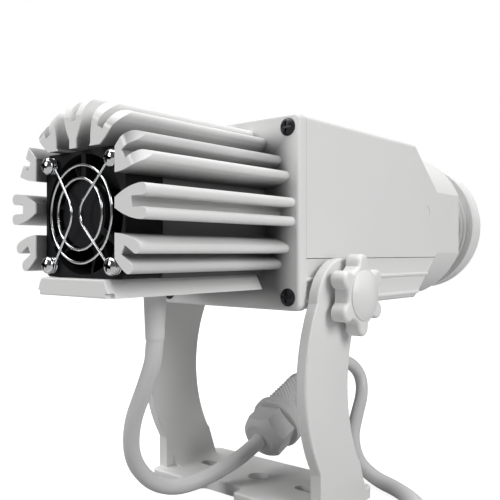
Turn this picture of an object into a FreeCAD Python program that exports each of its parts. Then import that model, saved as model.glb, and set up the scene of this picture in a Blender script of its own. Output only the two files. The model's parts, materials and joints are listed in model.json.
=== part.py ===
"""Small fan-cooled LED profile spotlight on a cast yoke, built as separate pieces.

Frame: the origin is the centre of the yoke's underside, straight under the tilt axis.
+Y is the way the beam leaves, +Z is up, and +X is the object's right seen from behind.
All sizes are in millimetres.
"""
import FreeCAD
import Part

import math
import os

V = FreeCAD.Vector

# ---- driving dimensions ------------------------------------------------------------
PIVOT_Z = 80.5          # height of the tilt axis
AXIS_Z = 110.5          # height of the optical axis
FAN_Z = 108.0           # height of the fan's centre and of the heat sink's core

FORK_REAR_Y = -91.2     # rear ends of the cooling fins
FAN_REAR_Y = -87.0
FAN_DEPTH = 15.0        # a standard 40 x 40 x 15 fan
FAN_HALF = 19.9
FAN_SCREW = 16.0        # half of the fan's 32 mm screw spacing
FLANGE_REAR_Y = -21.0
FLANGE_FRONT_Y = -16.6
TRIM_START_Y = 71.9     # where the square housing starts to turn into the round barrel
TRIM_END_Y = 95.0
BARREL_FRONT_Y = 121.2
RING_REAR_Y = 141.5
RING_FRONT_Y = 153.5

BODY_HALF = 35.0        # half the width and height of the square housing
BODY_CORNER = 1.8
WALL = 2.5
BARREL_R = 37.9         # the barrel is this circle with flats at BODY_HALF
BORE_R = 32.25
SEAM_Z = 94.0           # joint between the upper housing and the bottom cover
BOTTOM_Z = AXIS_Z - BODY_HALF

CORE_HALF = 20.0
FORK_TIP_R = 33.6
FORK_HALF = 5.1
FORK_ROOT_HALF = 1.65
FORK_SLOT_HALF = 1.6
FORK_ANGLES = (0, 30, 60, 90, 120, 150, 180, 210, 330)
# How far the rear corner of a fin is rounded, towards its root and along the beam.
FORK_ROUNDING = {30: (4.8, 7.0), 60: (6.2, 9.5), 90: (6.2, 9.5), 120: (6.2, 9.5), 150: (3.5, 5.5)}
FORK_SLOT_END = {60: 26.0, 90: 26.0, 120: 26.0}     # the slots of the other fins end at 27.3

ARM_IN_X = 37.0
ARM_OUT_X = 41.3
ARM_HOLE_R = 3.3
BASE_T = 4.5
BASE_HALF_Y = 21.0
NOTCH_Y = -15.0         # the base steps back to here where the lead passes over it
BASE_BOLT_R = 4.2
SLOT_X = 25.0
SLOT_HALF_LONG = 6.0
SLOT_HALF_WIDE = 2.7

STUD_R = 2.95
KNOB_R = 15.0
KNOB_NECK_X = 42.6
KNOB_BASE_X = 43.4
KNOB_FACE_X = 49.7

TUBE_REAR_Y = 79.0      # focus tube, at the middle of its travel
TUBE_R = 32.0
TUBE_BORE_R = 29.4
THREAD_PITCH = 5.0
RING_R = 34.2

CABLE_D = 6.0
CONNECTOR_START = V(0, 1, 19)
CONNECTOR_RISE_DEG = 23.0
CONNECTOR_LONG = 57.0

# Free route of the lead from the head down to the connector, corner by corner.
LEAD_ROUTE = [
    (0, -57, 65.98), (0, -57, 60), (-4.4, -57.9, 48.5), (-10.6, -58.5, 35.5),
    (-13.9, -55.8, 22), (-14, -47.5, 11.5), (-12, -37, 6.5), (-8.5, -25.5, 7.2),
    (-3, -14.5, 11.8), (0, -6, 16.03), (0, 1, 19),
]
# Route of the supply cable from the connector's far end to the start of its coil.
SUPPLY_ROUTE = [
    (0, 53.47, 41.27), (0.3, 60.5, 44.3), (1.8, 68.5, 43.2), (4, 75.5, 36.5),
    (6.5, 73.2, 27.8), (10.5, 61, 20.2), (15.5, 48, 13), (24, 38.5, 6),
    (36, 32, 3), (49, 26.5, 3), (62, 17, 3), (72, 3, 3), (84, -12, 3),
    (97, -28, 3), (108, -46, 3), (112, -66, 3),
]
COIL_CENTRE = V(76, -82, 0)
COIL_MEAN_R = 33.0
COIL_ROWS = 3           # turns on top of each other
COIL_COLUMNS = 2        # turns side by side
TAIL_ROUTE = [(76, -118, 15), (63, -118, 11.5), (50, -117, 6.8), (37, -117, 6.8)]
PLUG_LONG = 36.0


# ---- helpers -----------------------------------------------------------------------
def box(x0, x1, y0, y1, z0, z1):
    """Block between two corners."""
    return Part.makeBox(x1 - x0, y1 - y0, z1 - z0, V(x0, y0, z0))


def cyl(radius, start, end):
    """Cylinder between two points."""
    along = end - start
    return Part.makeCylinder(radius, along.Length, start, along)


def cyl_y(radius, y0, y1, x=0.0, z=AXIS_Z):
    """Cylinder along the beam."""
    return cyl(radius, V(x, y0, z), V(x, y1, z))


def cyl_x(radius, x0, x1, y=0.0, z=PIVOT_Z):
    """Cylinder along the tilt axis."""
    return cyl(radius, V(x0, y, z), V(x1, y, z))


def cyl_z(radius, z0, z1, x, y):
    """Upright cylinder."""
    return cyl(radius, V(x, y, z0), V(x, y, z1))


def tube_y(outer, inner, y0, y1, x=0.0, z=AXIS_Z):
    """Tube along the beam."""
    return cyl_y(outer, y0, y1, x, z).cut(cyl_y(inner, y0 - 1, y1 + 1, x, z))


def line(a, b):
    return Part.LineSegment(a, b).toShape()


def arc(a, b, c):
    """Arc from a through b to c."""
    return Part.Arc(a, b, c).toShape()


def prism(edges, along):
    """Solid swept straight from a closed outline."""
    return Part.Face(Part.Wire(edges)).extrude(along)


def polygon(points, along):
    """Prism of a straight-sided outline."""
    return Part.Face(Part.makePolygon(points + points[:1])).extrude(along)


def fuse_all(shapes):
    """One solid from touching or overlapping ones."""
    return shapes[0].multiFuse(shapes[1:]).removeSplitter()


def cut_all(shape, tools):
    """Cut one tool after the other, so that tools may cross each other."""
    for tool in tools:
        shape = shape.cut(tool)
    return shape


def mirror_x(shape):
    """The same piece on the left side."""
    return shape.mirror(V(0, 0, 0), V(1, 0, 0))


def edges_at_y(shape, y):
    """Edges that lie whole in one plane across the beam."""
    return [e for e in shape.Edges
            if abs(e.BoundBox.YMin - y) < 1e-4 and abs(e.BoundBox.YMax - y) < 1e-4]


def rounded_rect_xz(half_x, half_z, radius, y, centre_z):
    """Outline across the beam, a rectangle with round corners."""
    side_x, side_z, bend = half_x - radius, half_z - radius, radius * math.sqrt(0.5)
    edges = []
    for sx, sz in ((1, 1), (-1, 1), (-1, -1), (1, -1)):
        on_side = V(sx * half_x, y, centre_z + sz * side_z)
        on_top = V(sx * side_x, y, centre_z + sz * half_z)
        middle = V(sx * (side_x + bend), y, centre_z + sz * (side_z + bend))
        first, last = (on_side, on_top) if sx * sz > 0 else (on_top, on_side)
        edges.append((first, middle, last))
    made = []
    for i, (first, middle, last) in enumerate(edges):
        made += [arc(first, middle, last), line(last, edges[(i + 1) % 4][0])]
    return made


def pan_head_screw(head_r, head_h, shank_r, length, cross=True):
    """Screw with its head's underside at the origin and its shank along -Z."""
    dome = Part.makeSphere(head_r * 1.35, V(0, 0, head_h - head_r * 1.35))
    head = cyl_z(head_r, 0, head_h, 0, 0).common(dome)
    screw = head.fuse(cyl_z(shank_r, -length, 0.01, 0, 0))
    if cross:
        depth, wide, reach = head_h * 0.6, head_r * 0.15, head_r * 0.66
        for half_x, half_y in ((wide, reach), (reach, wide)):
            screw = screw.cut(box(-half_x, half_x, -half_y, half_y, head_h - depth, head_h + 1))
    return screw.removeSplitter()


def aimed(shape, origin, direction):
    """A shape made along +Z, turned to point along direction from origin."""
    made = shape.copy()
    made.Placement = FreeCAD.Placement(origin, FreeCAD.Rotation(V(0, 0, 1), direction))
    return made


def tangent_bend(before, corner, after, reach):
    """The first, middle and last point of the arc that rounds a corner, and its radius."""
    run_in, run_out = before - corner, after - corner
    half_turn = (math.pi - run_in.getAngle(run_out)) / 2
    radius = reach / math.tan(half_turn)
    u, w = run_in.normalize(), run_out.normalize()
    middle = corner + (u + w).normalize() * (math.hypot(radius, reach) - radius)
    return corner + u * reach, middle, corner + w * reach, radius


def rounded_route(points):
    """A wire of straight runs joined by tangent arcs, with its length and its radii."""
    corners = [V(*p) for p in points]
    edges, radii, start = [], [], corners[0]
    for before, corner, after in zip(corners, corners[1:], corners[2:]):
        reach = 0.45 * min(before.distanceToPoint(corner), after.distanceToPoint(corner))
        first, middle, last, radius = tangent_bend(before, corner, after, reach)
        edges += [line(start, first), arc(first, middle, last)]
        radii.append(round(radius, 1))
        start = last
    edges.append(line(start, corners[-1]))
    wire = Part.Wire(edges)
    return wire, wire.Length, radii


def cable(name, points):
    """Round cable along a route."""
    wire, length, radii = rounded_route(points)
    tangent = wire.Edges[0].tangentAt(wire.Edges[0].FirstParameter)
    circle = Part.makeCircle(CABLE_D / 2, V(*points[0]), tangent)
    solid = wire.makePipeShell([Part.Wire(circle)], True, True)
    expected = math.pi * (CABLE_D / 2) ** 2 * length
    print(f"{name}: {length:.1f} mm long, radii {radii}, volume ratio {solid.Volume / expected:.4f}")
    return solid


def ring_solid(radius, wire_r, centre, axis=V(0, 1, 0)):
    return Part.makeTorus(radius, wire_r, centre, axis)


def save(name, shape):
    shape.exportStep(f"parts/{name}.step")


# ---- yoke --------------------------------------------------------------------------
ARM_FRONT_C, ARM_FRONT_R = (61.7, 46.5), 59.2
ARM_BACK_C, ARM_BACK_R = (35.7, 49.1), 61.1
GUSSET_HALF = 12.0
FOOT_HALF_Y = 16.0


def arm_edge(centre, radius, z):
    """Where a curved edge of the arm stands at height z."""
    return V(ARM_IN_X, centre[0] - math.sqrt(radius ** 2 - (z - centre[1]) ** 2), z)


def arm():
    """Crescent-shaped arm, rounded over at the tilt axis, on a straight-sided foot."""
    foot_z, crescent_z, shoulder_back, shoulder_front = 2.0, 17.0, 78.0, 82.0
    back_low, back_mid, back_top = (arm_edge(ARM_BACK_C, ARM_BACK_R, z)
                                    for z in (crescent_z, 49.0, shoulder_back))
    front_low, front_mid, front_top = (arm_edge(ARM_FRONT_C, ARM_FRONT_R, z)
                                       for z in (crescent_z, 46.0, shoulder_front))
    top = V(ARM_IN_X, -0.5, PIVOT_Z + 13.5)
    outline = [
        arc(back_low, back_mid, back_top),
        arc(back_top, V(ARM_IN_X, -11.2, 90.4), top),
        arc(top, V(ARM_IN_X, 9.8, 90.2), front_top),
        arc(front_top, front_mid, front_low),
        line(front_low, back_low),
    ]
    thick = V(ARM_OUT_X - ARM_IN_X, 0, 0)
    crescent = prism(outline, thick)
    crescent = crescent.makeFillet(0.7, [e for e in crescent.Edges
                                         if e.BoundBox.ZMax > crescent_z + 1])
    foot = polygon([back_low, front_low, V(ARM_IN_X, FOOT_HALF_Y, foot_z),
                    V(ARM_IN_X, -FOOT_HALF_Y, foot_z)], thick)
    return crescent.fuse(foot)


def lead_notch():
    """Step in the base's rear edge under the lead, with round inner corners."""
    notch = box(-17, 5, -BASE_HALF_Y - 1, NOTCH_Y, -1, BASE_T + 1)
    return notch.makeFillet(3, [e for e in notch.Edges
                                if e.BoundBox.ZLength > BASE_T and e.BoundBox.YMin > NOTCH_Y - 0.1])


def yoke():
    """One casting: a base plate and two crescent arms."""
    corner = 3.0
    base = box(-ARM_OUT_X, ARM_OUT_X, -BASE_HALF_Y, BASE_HALF_Y, 0, BASE_T)
    upright = [e for e in base.Edges if e.BoundBox.ZLength > BASE_T - 0.1]
    base = base.makeFillet(corner, upright)
    base = base.makeFillet(0.8, [e for e in base.Edges if e.BoundBox.ZMin > BASE_T - 0.01])
    gusset_edges = [
        line(V(ARM_IN_X + 1, -GUSSET_HALF, BASE_T - 1), V(ARM_IN_X + 1, -GUSSET_HALF, BASE_T + 6)),
        line(V(ARM_IN_X + 1, -GUSSET_HALF, BASE_T + 6), V(ARM_IN_X, -GUSSET_HALF, BASE_T + 6)),
        arc(V(ARM_IN_X, -GUSSET_HALF, BASE_T + 6), V(ARM_IN_X - 1.76, -GUSSET_HALF, BASE_T + 1.76),
            V(ARM_IN_X - 6, -GUSSET_HALF, BASE_T)),
        line(V(ARM_IN_X - 6, -GUSSET_HALF, BASE_T), V(ARM_IN_X - 6, -GUSSET_HALF, BASE_T - 1)),
        line(V(ARM_IN_X - 6, -GUSSET_HALF, BASE_T - 1), V(ARM_IN_X + 1, -GUSSET_HALF, BASE_T - 1)),
    ]
    gusset = prism(gusset_edges, V(0, 2 * GUSSET_HALF, 0))
    right = arm()
    solid = fuse_all([base, right, mirror_x(right), gusset, mirror_x(gusset)])
    holes = [cyl_z(BASE_BOLT_R, -1, BASE_T + 1, 0, 0), cyl_x(ARM_HOLE_R, -50, 50),
             lead_notch()]
    for side in (-1, 1):
        x = side * SLOT_X
        reach = SLOT_HALF_LONG - SLOT_HALF_WIDE
        holes.append(box(x - reach, x + reach, -SLOT_HALF_WIDE, SLOT_HALF_WIDE, -1, BASE_T + 1))
        holes += [cyl_z(SLOT_HALF_WIDE, -1, BASE_T + 1, x + s * reach, 0) for s in (-1, 1)]
    return cut_all(solid, holes).removeSplitter()


# ---- heat sink, duct and fan ---------------------------------------------------------
def fork(angle):
    """One forked cooling fin as a bar along the beam."""
    c, s = math.cos(math.radians(angle)), math.sin(math.radians(angle))

    def at(u, v):
        return V(u * c - v * s, FORK_REAR_Y, AXIS_Z + u * s + v * c)

    root, neck, full, slot_end = 14.0, 20.3, 30.6, FORK_SLOT_END.get(angle, 27.3)
    tip = FORK_TIP_R - (FORK_HALF - FORK_SLOT_HALF) / 2
    tine = (FORK_HALF + FORK_SLOT_HALF) / 2
    w, g, r = FORK_HALF, FORK_SLOT_HALF, FORK_ROOT_HALF
    bulge = (24.6, 3.7)
    outline = [
        line(at(root, r), at(neck, r)),
        arc(at(neck, r), at(*bulge), at(full, w)),
        line(at(full, w), at(tip, w)),
        arc(at(tip, w), at(FORK_TIP_R, tine), at(tip, g)),
        line(at(tip, g), at(slot_end, g)),
        line(at(slot_end, g), at(slot_end, -g)),
        line(at(slot_end, -g), at(tip, -g)),
        arc(at(tip, -g), at(FORK_TIP_R, -tine), at(tip, -w)),
        line(at(tip, -w), at(full, -w)),
        arc(at(full, -w), at(bulge[0], -bulge[1]), at(neck, -r)),
        line(at(neck, -r), at(root, -r)),
        line(at(root, -r), at(root, r)),
    ]
    front_y = FLANGE_REAR_Y + 0.5
    bar = prism(outline, V(0, front_y - FORK_REAR_Y, 0))
    if angle not in FORK_ROUNDING:
        return bar
    drop, back = FORK_ROUNDING[angle]
    corner = [(root - 1, FORK_REAR_Y), (FORK_TIP_R - drop, FORK_REAR_Y),
              (FORK_TIP_R - drop * (1 - math.sqrt(0.5)), FORK_REAR_Y + back * (1 - math.sqrt(0.5))),
              (FORK_TIP_R, FORK_REAR_Y + back), (FORK_TIP_R, front_y), (root - 1, front_y)]
    side = [at(u, -8) + V(0, y - FORK_REAR_Y, 0) for u, y in corner]
    rounded = prism([line(side[0], side[1]), arc(side[1], side[2], side[3]),
                     line(side[3], side[4]), line(side[4], side[5]), line(side[5], side[0])],
                    at(0, 8) - at(0, -8))
    return bar.common(rounded)


FLANGE_SCREWS = [(x, z) for x in (-30.4, 30.4) for z in (AXIS_Z - 30.5, AXIS_Z + 30.5)]
FAN_CORNERS = [(x, z) for x in (-FAN_SCREW, FAN_SCREW)
               for z in (FAN_Z - FAN_SCREW, FAN_Z + FAN_SCREW)]
LED_SCREWS = [(14.0 * math.cos(a), AXIS_Z + 14.0 * math.sin(a))
              for a in (math.radians(d) for d in (30, 150, 270))]
PEDESTAL_FRONT_Y = -8.0
DUCT_TOP_Z = FAN_Z - CORE_HALF
DUCT_BOTTOM_Z = 82.5
LEAD_Y = -57.0
GLAND_END_Z = 66.0      # the strain relief tapers down to the lead here


def heat_sink():
    """Square core, forked fins and mounting flange in one casting."""
    fan_front = FAN_REAR_Y + FAN_DEPTH
    core = box(-CORE_HALF, CORE_HALF, fan_front, FLANGE_REAR_Y + 0.5,
               FAN_Z - CORE_HALF, FAN_Z + CORE_HALF)
    forks = [fork(a) for a in FORK_ANGLES]
    room = box(-CORE_HALF - 0.05, CORE_HALF + 0.05, FORK_REAR_Y - 1, fan_front,
               FAN_Z - CORE_HALF - 0.05, FAN_Z + CORE_HALF + 0.05)
    half = BODY_HALF + 0.4
    flange = prism(rounded_rect_xz(half, half, 2.5, FLANGE_REAR_Y, AXIS_Z),
                   V(0, FLANGE_FRONT_Y - FLANGE_REAR_Y, 0))
    flange = flange.makeFillet(1.3, edges_at_y(flange, FLANGE_REAR_Y))
    pedestal = cyl_y(21.5, FLANGE_FRONT_Y - 0.5, PEDESTAL_FRONT_Y)
    solid = fuse_all([core] + [f.cut(room) for f in forks] + [flange, pedestal])
    holes = [cyl_y(1.85, FLANGE_REAR_Y - 1, FLANGE_FRONT_Y + 1, x, z) for x, z in FLANGE_SCREWS]
    holes += [cyl_y(1.5, fan_front - 1, fan_front + 11, x, z) for x, z in FAN_CORNERS]
    holes += [cyl_y(1.0, PEDESTAL_FRONT_Y - 6, PEDESTAL_FRONT_Y + 1, x, z) for x, z in LED_SCREWS]
    holes.append(cyl_y(2.2, FLANGE_REAR_Y - 1, FLANGE_FRONT_Y + 1, 0, 86.2))
    holes += [cyl_z(1.25, DUCT_TOP_Z - 1, DUCT_TOP_Z + 5, 0, y) for y in DUCT_SCREW_Y]
    return cut_all(solid, holes)


DUCT_SCREW_Y = (-66.0, -30.0)


def duct_cover():
    """Trough under the core that carries the wires from the lead to the housing."""
    y0, y1 = FORK_REAR_Y - 0.6, FLANGE_REAR_Y
    outline = [V(-16, y0, DUCT_TOP_Z), V(16, y0, DUCT_TOP_Z),
               V(18.8, y0, DUCT_BOTTOM_Z), V(-18.8, y0, DUCT_BOTTOM_Z)]
    solid = polygon(outline, V(0, y1 - y0, 0))
    solid = solid.makeFillet(0.5, edges_at_y(solid, y0))
    tools = [box(-6, 6, LEAD_Y - 5, y1 + 1, DUCT_BOTTOM_Z + 2, DUCT_TOP_Z + 1),
             cyl_z(4.0, DUCT_BOTTOM_Z - 1, DUCT_TOP_Z, 0, LEAD_Y)]
    notch = box(16.6, 20, y0 - 1, y0 + 2.2, DUCT_BOTTOM_Z - 1, DUCT_BOTTOM_Z + 1.6)
    tools += [notch, mirror_x(notch)]
    solid = cut_all(solid, tools)
    bridges = [cyl_z(3.2, DUCT_BOTTOM_Z + 0.5, DUCT_TOP_Z, 0, DUCT_SCREW_Y[1])]
    solid = fuse_all([solid] + bridges)
    return cut_all(solid, [cyl_z(1.6, DUCT_BOTTOM_Z - 1, DUCT_TOP_Z + 1, 0, y)
                           for y in DUCT_SCREW_Y])


def duct_screws():
    made = []
    for y in DUCT_SCREW_Y:
        screw = pan_head_screw(2.6, 1.5, 1.2, 8.5)
        made.append(aimed(screw, V(0, y, DUCT_BOTTOM_Z), V(0, 0, -1)))
    return Part.makeCompound(made)


def cable_gland():
    """Strain relief bush where the lead leaves the duct."""
    grip = Part.makeCone(4.0, 3.3, DUCT_BOTTOM_Z - GLAND_END_Z, V(0, LEAD_Y, DUCT_BOTTOM_Z),
                         V(0, 0, -1))
    neck = cyl_z(3.9, DUCT_BOTTOM_Z - 0.1, DUCT_TOP_Z - 2, 0, LEAD_Y)
    solid = grip.fuse(neck).cut(cyl_z(CABLE_D / 2 - 0.6, 60, 95, 0, LEAD_Y))
    return solid.removeSplitter()


def fan_frame():
    y0, y1 = FAN_REAR_Y, FAN_REAR_Y + FAN_DEPTH
    frame = prism(rounded_rect_xz(FAN_HALF, FAN_HALF, 2.5, y0, FAN_Z), V(0, y1 - y0, 0))
    frame = frame.cut(cyl_y(18.9, y0 - 1, y1 + 1, 0, FAN_Z))
    frame = cut_all(frame, [cyl_y(1.7, y0 - 1, y1 + 1, x, z) for x, z in FAN_CORNERS])
    struts = []
    for angle in (90, 210, 330):
        bar = box(9, 19.4, y0, y0 + 2.2, FAN_Z - 1.1, FAN_Z + 1.1)
        struts.append(bar.rotate(V(0, 0, FAN_Z), V(0, 1, 0), -angle))
    hub_plate = cyl_y(10.6, y0, y0 + 1.8, 0, FAN_Z)
    bearing = cyl_y(2.6, y0 + 1, y0 + 10, 0, FAN_Z)
    solid = fuse_all([frame, hub_plate, bearing] + struts)
    return solid.cut(cyl_y(1.05, y0 + 0.6, y0 + 11, 0, FAN_Z))


def fan_motor():
    """Wound stator pressed on the frame's bearing tube."""
    y0 = FAN_REAR_Y + 3.4
    stator = tube_y(7.4, 2.62, y0, y0 + 5, 0, FAN_Z)
    slots = [box(3.4, 8, y0 - 1, y0 + 6, FAN_Z - 0.7, FAN_Z + 0.7)
             .rotate(V(0, 0, FAN_Z), V(0, 1, 0), a) for a in (0, 90, 180, 270)]
    return cut_all(stator, slots)


FAN_BLADES = 7
FAN_HUB_R = 10.6


def fan_rotor():
    y0 = FAN_REAR_Y + 2.3
    y1 = FAN_REAR_Y + FAN_DEPTH - 1.2
    hub = tube_y(FAN_HUB_R, 8.6, y0, y1, 0, FAN_Z).fuse(cyl_y(FAN_HUB_R, y1 - 1.6, y1, 0, FAN_Z))
    mid, sweep = (y0 + y1) / 2, 42
    blades = []
    for i in range(FAN_BLADES):
        plate = box(FAN_HUB_R - 0.6, 19, mid - 6.2, mid + 6.2, FAN_Z - 0.5, FAN_Z + 0.5)
        plate = plate.rotate(V(0, mid, FAN_Z), V(1, 0, 0), sweep)
        blades.append(plate.rotate(V(0, 0, FAN_Z), V(0, 1, 0), i * 360 / FAN_BLADES))
    reach = cyl_y(18.2, y0 + 0.3, y1 - 0.2, 0, FAN_Z)
    solid = fuse_all([hub] + [b.common(reach) for b in blades])
    solid = solid.cut(cyl_y(8.6, y0 - 1, y1 - 1.6, 0, FAN_Z))
    return solid.cut(cyl_y(1.02, y0 - 1, y1 + 1, 0, FAN_Z))


def fan_shaft():
    return cyl_y(1.0, FAN_REAR_Y + 1.0, FAN_REAR_Y + FAN_DEPTH - 1.4, 0, FAN_Z)


GUARD_WIRE_R = 0.45
GUARD_BEND = 5.5        # how far from its middle each cross wire starts to bend
GUARD_LOOP_Y = FAN_REAR_Y - 1.2


def fan_guard():
    """Finger guard: two rings on two bent wires with an eye at each screw."""
    rings = [ring_solid(15.24, GUARD_WIRE_R, V(0, GUARD_LOOP_Y - 0.05, FAN_Z)),
             ring_solid(11.12, GUARD_WIRE_R, V(0, GUARD_LOOP_Y - 0.35, FAN_Z))]
    wires = []
    for side in (-1, 1):
        ends = [V(side * (FAN_SCREW - 2.2), GUARD_LOOP_Y, FAN_Z + s * (FAN_SCREW - 0.1))
                for s in (1, -1)]
        corner = V(side * 0.1, GUARD_LOOP_Y - 2.0, FAN_Z)
        first, middle, last, _ = tangent_bend(ends[0], corner, ends[1], GUARD_BEND)
        path = [line(ends[0], first), arc(first, middle, last), line(last, ends[1])]
        start = Part.makeCircle(GUARD_WIRE_R, ends[0], first - ends[0])
        wires.append(Part.Wire(path).makePipeShell([Part.Wire(start)], True, True))
    eyes = [ring_solid(2.3, GUARD_WIRE_R, V(x, GUARD_LOOP_Y, z)) for x, z in FAN_CORNERS]
    return fuse_all(rings + wires + eyes)


def fan_screws():
    """Four screws with washers that hold the guard and the fan to the core."""
    made = []
    for x, z in FAN_CORNERS:
        screw = pan_head_screw(2.9, 2.2, 1.45, 26.0)
        made.append(aimed(screw, V(x, GUARD_LOOP_Y - GUARD_WIRE_R - 0.02, z), V(0, -1, 0)))
        made.append(tube_y(2.7, 1.5, FAN_REAR_Y - 0.68, FAN_REAR_Y - 0.02, x, z))
    return Part.makeCompound(made)


# ---- housing, cover and what they hold ----------------------------------------------
def barrel_section(y, inset=0.0):
    """The barrel's outline, or one that much inside it: a circle cut by four flats."""
    radius, half = BARREL_R - inset, BODY_HALF - inset
    flat_half = math.sqrt(radius ** 2 - half ** 2)
    bend = radius * math.sqrt(0.5)
    corners = []
    for sx, sz in ((1, 1), (-1, 1), (-1, -1), (1, -1)):
        on_side = V(sx * half, y, AXIS_Z + sz * flat_half)
        on_top = V(sx * flat_half, y, AXIS_Z + sz * half)
        middle = V(sx * bend, y, AXIS_Z + sz * bend)
        first, last = (on_side, on_top) if sx * sz > 0 else (on_top, on_side)
        corners.append((first, middle, last))
    made = []
    for i, (first, middle, last) in enumerate(corners):
        made += [arc(first, middle, last), line(last, corners[(i + 1) % 4][0])]
    return made


def cover_region(gap):
    """The space behind the slanted front edge and under the seam that the cover fills."""
    slant = (TRIM_END_Y - TRIM_START_Y) / (BODY_HALF - math.sqrt(BARREL_R ** 2 - BODY_HALF ** 2))
    top_y = TRIM_START_Y + (SEAM_Z - BOTTOM_Z) * slant
    points = [V(-60, -30, SEAM_Z - gap), V(-60, top_y - gap, SEAM_Z - gap),
              V(-60, TRIM_START_Y - gap, BOTTOM_Z), V(-60, TRIM_START_Y - gap, 40),
              V(-60, -30, 40)]
    return polygon(points, V(120, 0, 0))


COVER_SCREWS = [(x, y) for x in (-29.0, 29.0) for y in (14.0, 60.0)]
POST_FRONT_Y = -7.0
LOCK_Y, LOCK_Z = 83.6, 115.0
GUIDE_REAR_Y = 106.0    # the close-fitting bore that guides the focus tube starts here
SHADOW_GAP = 0.6        # width and depth of the line round the joint with the flange


def housing():
    """Upper casing with the barrel in one piece."""
    square = prism(rounded_rect_xz(BODY_HALF, BODY_HALF, BODY_CORNER, FLANGE_FRONT_Y, AXIS_Z),
                   V(0, TRIM_START_Y - FLANGE_FRONT_Y, 0))
    turn = Part.makeLoft(
        [Part.Wire(rounded_rect_xz(BODY_HALF, BODY_HALF, BODY_CORNER, TRIM_START_Y, AXIS_Z)),
         Part.Wire(barrel_section(TRIM_END_Y))], True, True)
    barrel = prism(barrel_section(TRIM_END_Y), V(0, BARREL_FRONT_Y - TRIM_END_Y, 0))
    barrel = barrel.makeFillet(0.5, edges_at_y(barrel, BARREL_FRONT_Y))
    solid = fuse_all([square, turn, barrel]).cut(cover_region(0.0))
    inner = BODY_HALF - WALL
    narrow_y, wide_y = TRIM_START_Y - 1, TRIM_END_Y - 1
    narrowing = Part.makeLoft(
        [Part.Wire(rounded_rect_xz(inner, inner, 1.0, narrow_y, AXIS_Z)),
         Part.Wire(barrel_section(wide_y, WALL))], True, True)
    solid = cut_all(solid, [
        box(-inner, inner, FLANGE_FRONT_Y - 1, narrow_y, AXIS_Z - inner, AXIS_Z + inner),
        narrowing,
        prism(barrel_section(wide_y, WALL), V(0, GUIDE_REAR_Y - wide_y, 0)),
        cyl_y(BORE_R, GUIDE_REAR_Y - 1, BARREL_FRONT_Y + 1)])
    band = prism(rounded_rect_xz(BODY_HALF + 1, BODY_HALF + 1, BODY_CORNER, FLANGE_FRONT_Y - 1, AXIS_Z),
                 V(0, 1 + SHADOW_GAP, 0))
    core = prism(rounded_rect_xz(BODY_HALF - SHADOW_GAP, BODY_HALF - SHADOW_GAP, BODY_CORNER,
                                 FLANGE_FRONT_Y - 2, AXIS_Z), V(0, 3 + SHADOW_GAP, 0))
    solid = solid.cut(band.cut(core))
    posts = [cyl_y(4.3, FLANGE_FRONT_Y, POST_FRONT_Y, x, z)
             for x, z in FLANGE_SCREWS if z > AXIS_Z]
    lugs = [cyl_z(3.6, SEAM_Z, SEAM_Z + 7, x, y) for x, y in COVER_SCREWS]
    solid = fuse_all([solid] + posts + lugs)
    holes = [cyl_y(1.5, FLANGE_FRONT_Y - 1, POST_FRONT_Y + 1, x, z) for x, z in FLANGE_SCREWS]
    holes += [cyl_z(1.25, SEAM_Z - 1, SEAM_Z + 8, x, y) for x, y in COVER_SCREWS]
    holes.append(cyl_x(3.0, BORE_R - 2, BODY_HALF + 1, LOCK_Y, LOCK_Z))
    return cut_all(solid, holes)


COVER_HALF = BODY_HALF - 0.45
PIVOT_PAD_R = 7.0
PAD_HIGH = 0.75


def bead(z):
    """Raised line along both sides of the bottom cover."""
    points = [V(COVER_HALF - 0.4, FLANGE_FRONT_Y, z + 0.9), V(COVER_HALF, FLANGE_FRONT_Y, z + 0.9),
              V(COVER_HALF + 0.7, FLANGE_FRONT_Y, z + 0.3),
              V(COVER_HALF + 0.7, FLANGE_FRONT_Y, z - 0.5),
              V(COVER_HALF - 0.4, FLANGE_FRONT_Y, z - 0.5)]
    right = polygon(points, V(0, 120, 0))
    return [right, mirror_x(right)]


def bottom_cover():
    """Tray that closes the housing from below and carries the tilt studs."""
    long = TRIM_END_Y - FLANGE_FRONT_Y
    block = box(-COVER_HALF, COVER_HALF, FLANGE_FRONT_Y, FLANGE_FRONT_Y + long, BOTTOM_Z, SEAM_Z)
    low = [e for e in block.Edges
           if e.BoundBox.YLength > long - 0.1 and e.BoundBox.ZMax < BOTTOM_Z + 0.1]
    block = block.makeFillet(2.2, low)
    solid = fuse_all([block] + bead(86.2) + bead(78.0)).common(cover_region(0.25))
    inner = BODY_HALF - WALL - 0.3
    room = box(-inner, inner, FLANGE_FRONT_Y - 1, TRIM_END_Y, BOTTOM_Z + WALL, SEAM_Z + 1)
    room = room.common(cover_region(2.6).fuse(box(-60, 60, -30, 60, SEAM_Z - 4, SEAM_Z + 2)))
    solid = solid.cut(room).cut(cyl_y(BORE_R + 0.5, 60, TRIM_END_Y + 5))
    posts = [cyl_y(4.3, FLANGE_FRONT_Y, POST_FRONT_Y, x, z)
             for x, z in FLANGE_SCREWS if z < AXIS_Z]
    posts += [cyl_z(3.6, BOTTOM_Z + 1, SEAM_Z - 0.25, x, y) for x, y in COVER_SCREWS]
    pads = [cyl_x(PIVOT_PAD_R, s * (COVER_HALF - 0.5), s * (COVER_HALF + PAD_HIGH))
            for s in (-1, 1)]
    solid = fuse_all([solid] + posts + pads)
    holes = [cyl_y(1.5, FLANGE_FRONT_Y - 1, POST_FRONT_Y + 1, x, z) for x, z in FLANGE_SCREWS]
    holes += [cyl_z(1.6, BOTTOM_Z - 1, SEAM_Z + 1, x, y) for x, y in COVER_SCREWS]
    holes += [cyl_z(3.1, BOTTOM_Z - 1, BOTTOM_Z + 1.9, x, y) for x, y in COVER_SCREWS]
    holes.append(cyl_x(STUD_R + 0.02, -40, 40))
    return cut_all(solid, holes)


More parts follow.
